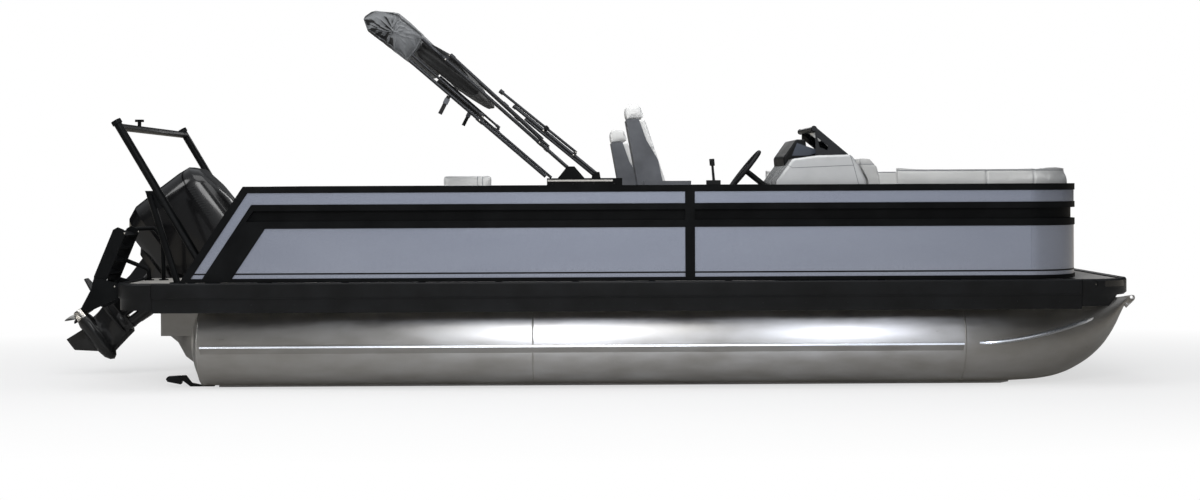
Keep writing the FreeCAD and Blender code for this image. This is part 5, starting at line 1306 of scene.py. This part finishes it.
def studs(name, spots, radius_mm, finish="steel_bright"):
    """Screw heads at (node, x, z, side) spots, one piece for each body."""
    by_body = {}
    for node, x, z, side in spots:
        found = on_side(node, x, z, side)
        if found:
            by_body.setdefault(BODY_OF[node], []).append((found[0], found[1] if found[1].y * side > 0
                                                          else -found[1]))
    for body, group in by_body.items():
        screws(f"{name}_{body}", group, radius_mm, body, finish, finish)


def band(name, node, low_z, high_z, lift_mm, finish, keep=lambda middle, normal: True):
    """A stripe lifted off a node's outward skin between two levels."""
    sewn = merged(node)
    for level, outer in ((high_z, True), (low_z, False)):
        everything = sewn.verts[:] + sewn.edges[:] + sewn.faces[:]
        bmesh.ops.bisect_plane(sewn, geom=everything, plane_co=(0, 0, level), plane_no=(0, 0, 1),
                               clear_outer=outer, clear_inner=not outer)
    sewn.normal_update()
    gone = []
    for face in sewn.faces:
        middle = face.calc_center_median()
        outward = Vector((max(middle.x - 3.0, 0), middle.y, 0)).normalized()
        if abs(face.normal.z) > 0.5 or face.normal.dot(outward) < 0.4 or not keep(middle, face.normal):
            gone.append(face)
    bmesh.ops.delete(sewn, geom=gone, context="FACES")
    sewn.normal_update()
    for vert in sewn.verts:
        vert.co += vert.normal * lift_mm * MM
    mesh = closed_up(name, sewn)
    piece = put(name, mesh)
    sheet = piece.modifiers.new("thick", "SOLIDIFY")
    sheet.thickness = (lift_mm + 0.5) * MM
    sheet.offset = -1
    baked(piece)
    print(name, len(mesh.polygons), "faces")
    return settle(piece, BODY_OF[node], FINISH[finish])


def slab(low, high):
    """A plain box between two corners."""
    sewn = bmesh.new()
    bmesh.ops.create_cube(sewn, size=1.0)
    for vert in sewn.verts:
        vert.co = [low[axis] + (high[axis] - low[axis]) * (vert.co[axis] + 0.5) for axis in AXES]
    return put("slab", closed_up("slab", sewn))


# %% Pinstripes, the bow's side lamps and the canopy's tracks
for node in ("fence_panels_starboard", "fence_panels_port", "fence_panels_bow"):
    band("pinstripe_" + node[13:], node, 0.858, 0.870, 0.7, "trim_black")
BEZEL = [(-0.004, 0.030), (0.004, 0.030), (0.006, 0.027), (0.003, 0.023), (-0.004, 0.023)]
LENS = [(-0.003, 0.0), (-0.003, 0.0232), (0.002, 0.0225), (0.0045, 0.014), (0.005, 0.0)]
for side in (-1, 1):
    lamp_place = on_side("bow_corners", 3.609, 0.764, side)[0] - Vector((0, side * 5.4 * MM, 0))
    turn = Matrix.Translation(lamp_place) @ Matrix.Rotation(side * math.pi / 2, 4, "Z")
    name = "port" if side > 0 else "starboard"
    bezel = turned_shape("dock_bezel_" + name, BEZEL, [turn], 32)
    settle(bezel, "root", FINISH["black_tube"])
    lens = turned_shape("dock_lens_" + name, LENS, [turn], 32)
    settle(lens, "root", FINISH["steel_bright"])
# A dark smoked sheet laid on the bow corner's skin, not cut in, stands for the shaded recess: painted shade.
band("bow_recess_painted_shade", "bow_corners", 0.744, 0.798, 0.8, "acrylic_smoked",
     lambda middle, normal: 3.70 < middle.x < 3.87)
tracks_low, tracks_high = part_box("bimini_tracks")
strips = []
for side in (-1, 1):
    outer = side * tracks_high[1]
    strips.append(slab((tracks_low[0] + 0.004, min(outer, outer + side * 0.0012), 1.530),
                       (tracks_high[0] - 0.07, max(outer, outer + side * 0.0012), 1.542)))
settle(joined("bimini_track_strips", strips), "root", FINISH["tube_aluminium"])

# %% Screws, rivets and pins
LADDER_PINS = (-3.540, 1.050), (-3.587, 0.831), (-3.580, 0.768), (-3.587, 0.622), (-3.51, 1.16)
BOW_PINS = ((-1.1168, 2.4227), (-1.090, 2.452), (-0.4327, 1.8135), (-0.413, 1.835), (-0.8703, 1.9776),
            (-0.848, 2.003), (-0.202, 1.608))
STRUT_PINS = (-0.188, 1.722), (-0.170, 1.742), (-0.404, 1.901), (-0.376, 1.922), (-0.015, 1.583)
spots = []
for side in (-1, 1):
    for x, z in LADDER_PINS:
        spots += [("ladder", x, z, side), ("ladder_bracket", x, z, side)]
    for node, places in (("bimini_bows", BOW_PINS), ("bimini_strut", STRUT_PINS)):
        spots += [(node, x, z, side) for x, z in places]
studs("fitting_screws", spots, 6.5)
spots = []
for side in (-1, 1):
    trim = "side_trim_starboard" if side < 0 else "side_trim_port"
    spots += [(trim, -3.15 + step * 0.31, 0.640, side) for step in range(22)]
    spots += [("bimini_tracks", -0.34 + step * 0.15, 1.512, side) for step in range(4)]
studs("trim_screws", spots, 4.5, "trim_black")
knobs = []
for side in (-1, 1):
    spot = on_side("bimini_strut", -0.384, 1.923, side)
    if spot:
        turn = Matrix.Translation(spot[0]) @ Matrix.Rotation(side * math.pi / 2, 4, "Z")
        knobs.append(turned_shape("knob", [(-0.002, 0.008), (0.006, 0.008), (0.008, 0.015), (0.024, 0.016),
                                           (0.028, 0.012), (0.029, 0.0)], [turn], 24))
if knobs:
    settle(joined("bimini_strut_knobs", knobs), BODY_OF["bimini_strut"], FINISH["trim_black"])

# %% Canopy straps with their buckles
straps, buckles = [], []
for side in (-1, 1):
    y = side * (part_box("bimini_bows")[1][1] - 0.0125)
    top, tip = Vector((-1.094, y, 2.156)), Vector((-1.160, y, 2.026))
    along = (tip - top).normalized()
    aside = Vector((along.z, 0, -along.x)) * 0.015
    thick = Vector((0, 0.0015, 0))
    ring = [aside + thick, aside - thick, -aside - thick, -aside + thick]
    straps.append(strip("strap", [[place + corner for corner in ring] for place in (top, tip)]))
    wide, deep = aside * 1.25, Vector((0, 0.007, 0))
    ring = [wide + deep, wide - deep, -wide - deep, -wide + deep]
    buckles.append(strip("buckle", [[top + along * far + corner for corner in ring]
                                    for far in (0.020, 0.062)]))
settle(joined("bimini_straps", straps), "bimini", FINISH["canvas_black"])
settle(joined("bimini_strap_buckles", buckles), "bimini", FINISH["shell_grey"])

# %% Engine: louvres behind the cowl's crown
MOTOR_AT = Vector((-4.0191, 0, 0.3265))
MOTOR_FORE, MOTOR_UP = Vector((0.6018, 0, -0.7986)), Vector((0.7986, 0, 0.6018))
louvres = []
for side in (-1, 1):
    for step in range(13):
        path = []
        for share in range(5):
            fore, up = -0.455 + step * 0.0215 + share * 0.006, 1.334 + share * 0.011 - step * 0.0012
            place = MOTOR_AT + MOTOR_FORE * fore + MOTOR_UP * up
            found = on_side("cowl", place.x, place.z, side, -0.5)
            if found:
                path.append(found[0])
        if len(path) > 2:
            louvres.append(path)
if louvres:
    settle(rod("cowl_louvres", louvres, 0.0032, False, 8), "motor", FINISH["leg_black"])
print("louvres", len(louvres))

# %% Helm: a dark cord of painted shade along the console's crease, and the dash's glossy side panels
console_low, console_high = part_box("helm_console")
lines = []
CREASES = ((1.354, 1.662), (1.419, 1.623), (1.868, 1.641)), ((1.842, 1.72), (1.868, 1.641), (1.905, 1.50))
for side, edge in ((-1, console_low[1]), (1, console_high[1])):
    for run in CREASES:
        path = []
        for (x0, z0), (x1, z1) in zip(run, run[1:]):
            for step in range(25):
                share = step / 24
                spot, normal = touch("helm_console", (x0 + (x1 - x0) * share, edge + side * 0.3,
                                                      z0 + (z1 - z0) * share), (0, -side, 0))
                if spot is not None and abs(spot.y - edge) < 0.05:
                    path.append(spot)
        if len(path) > 3:
            lines.append(path)
if lines:
    # A grey cord laid along the console's crease: painted shade in the fold.
    settle(rod("console_crease_painted_shade", lines, 0.0016, False, 6), "root", FINISH["shell_grey"])
dash_low, dash_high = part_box("helm_dash")
PANE = [(1.440, 1.716), (1.477, 1.808), (1.652, 1.750), (1.566, 1.716)]
panes = [cut_sheet("dash_pane", [PANE], 0.003, y, 0.0008)
         for y in (dash_low[1] - 0.0008, dash_high[1] + 0.0008)]
settle(joined("dash_panes", panes), "root", FINISH["dash_gloss"])

# %% The windscreen's top rail with its end plugs
screen_low, screen_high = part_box("windscreen")
RAIL_X, RAIL_Z, RAIL_IN = screen_low[0] + 0.017, 1.912, 0.018
rail_ends = (screen_low[1] + RAIL_IN, -1), (screen_high[1] - RAIL_IN, 1)
rail = rod("rail", [[(RAIL_X, y, RAIL_Z) for y, heading_y in rail_ends]], 0.0185, False, 20)
PLUG = [(-0.010, 0.0), (-0.010, 0.021), (0.012, 0.023), (0.017, 0.016), (0.018, 0.0)]
ends = []
for y, side in rail_ends:
    turn = Matrix.Translation((RAIL_X, y, RAIL_Z)) @ Matrix.Rotation(side * math.pi / 2, 4, "Z")
    ends.append(turned_shape("end", PLUG, [turn], 24))
settle(joined("windscreen_rail", [rail] + ends), "root", FINISH["trim_black"])

# %% Bright strips along the deck edge under the fence: a painted highlight for the bright gap under the fence
EDGE_AFT, EDGE_PITCH, EDGE_LONG, EDGE_Y = -2.95, 0.36, 0.33, 1.262
edges = []
for side in (-1, 1):
    for step in range(18):
        aft = EDGE_AFT + step * EDGE_PITCH
        # Each bright slab stands for the light seen in the gap under the fence: a painted highlight.
        edges.append(slab((aft, side * EDGE_Y - 0.003, 0.7885),
                          (aft + EDGE_LONG, side * EDGE_Y + 0.003, 0.7955)))
settle(joined("deck_gap_painted_highlight", edges), "root", FINISH["painted_highlight_aluminium"])

# %% Back to the first frame
bpy.context.scene.frame_set(1)
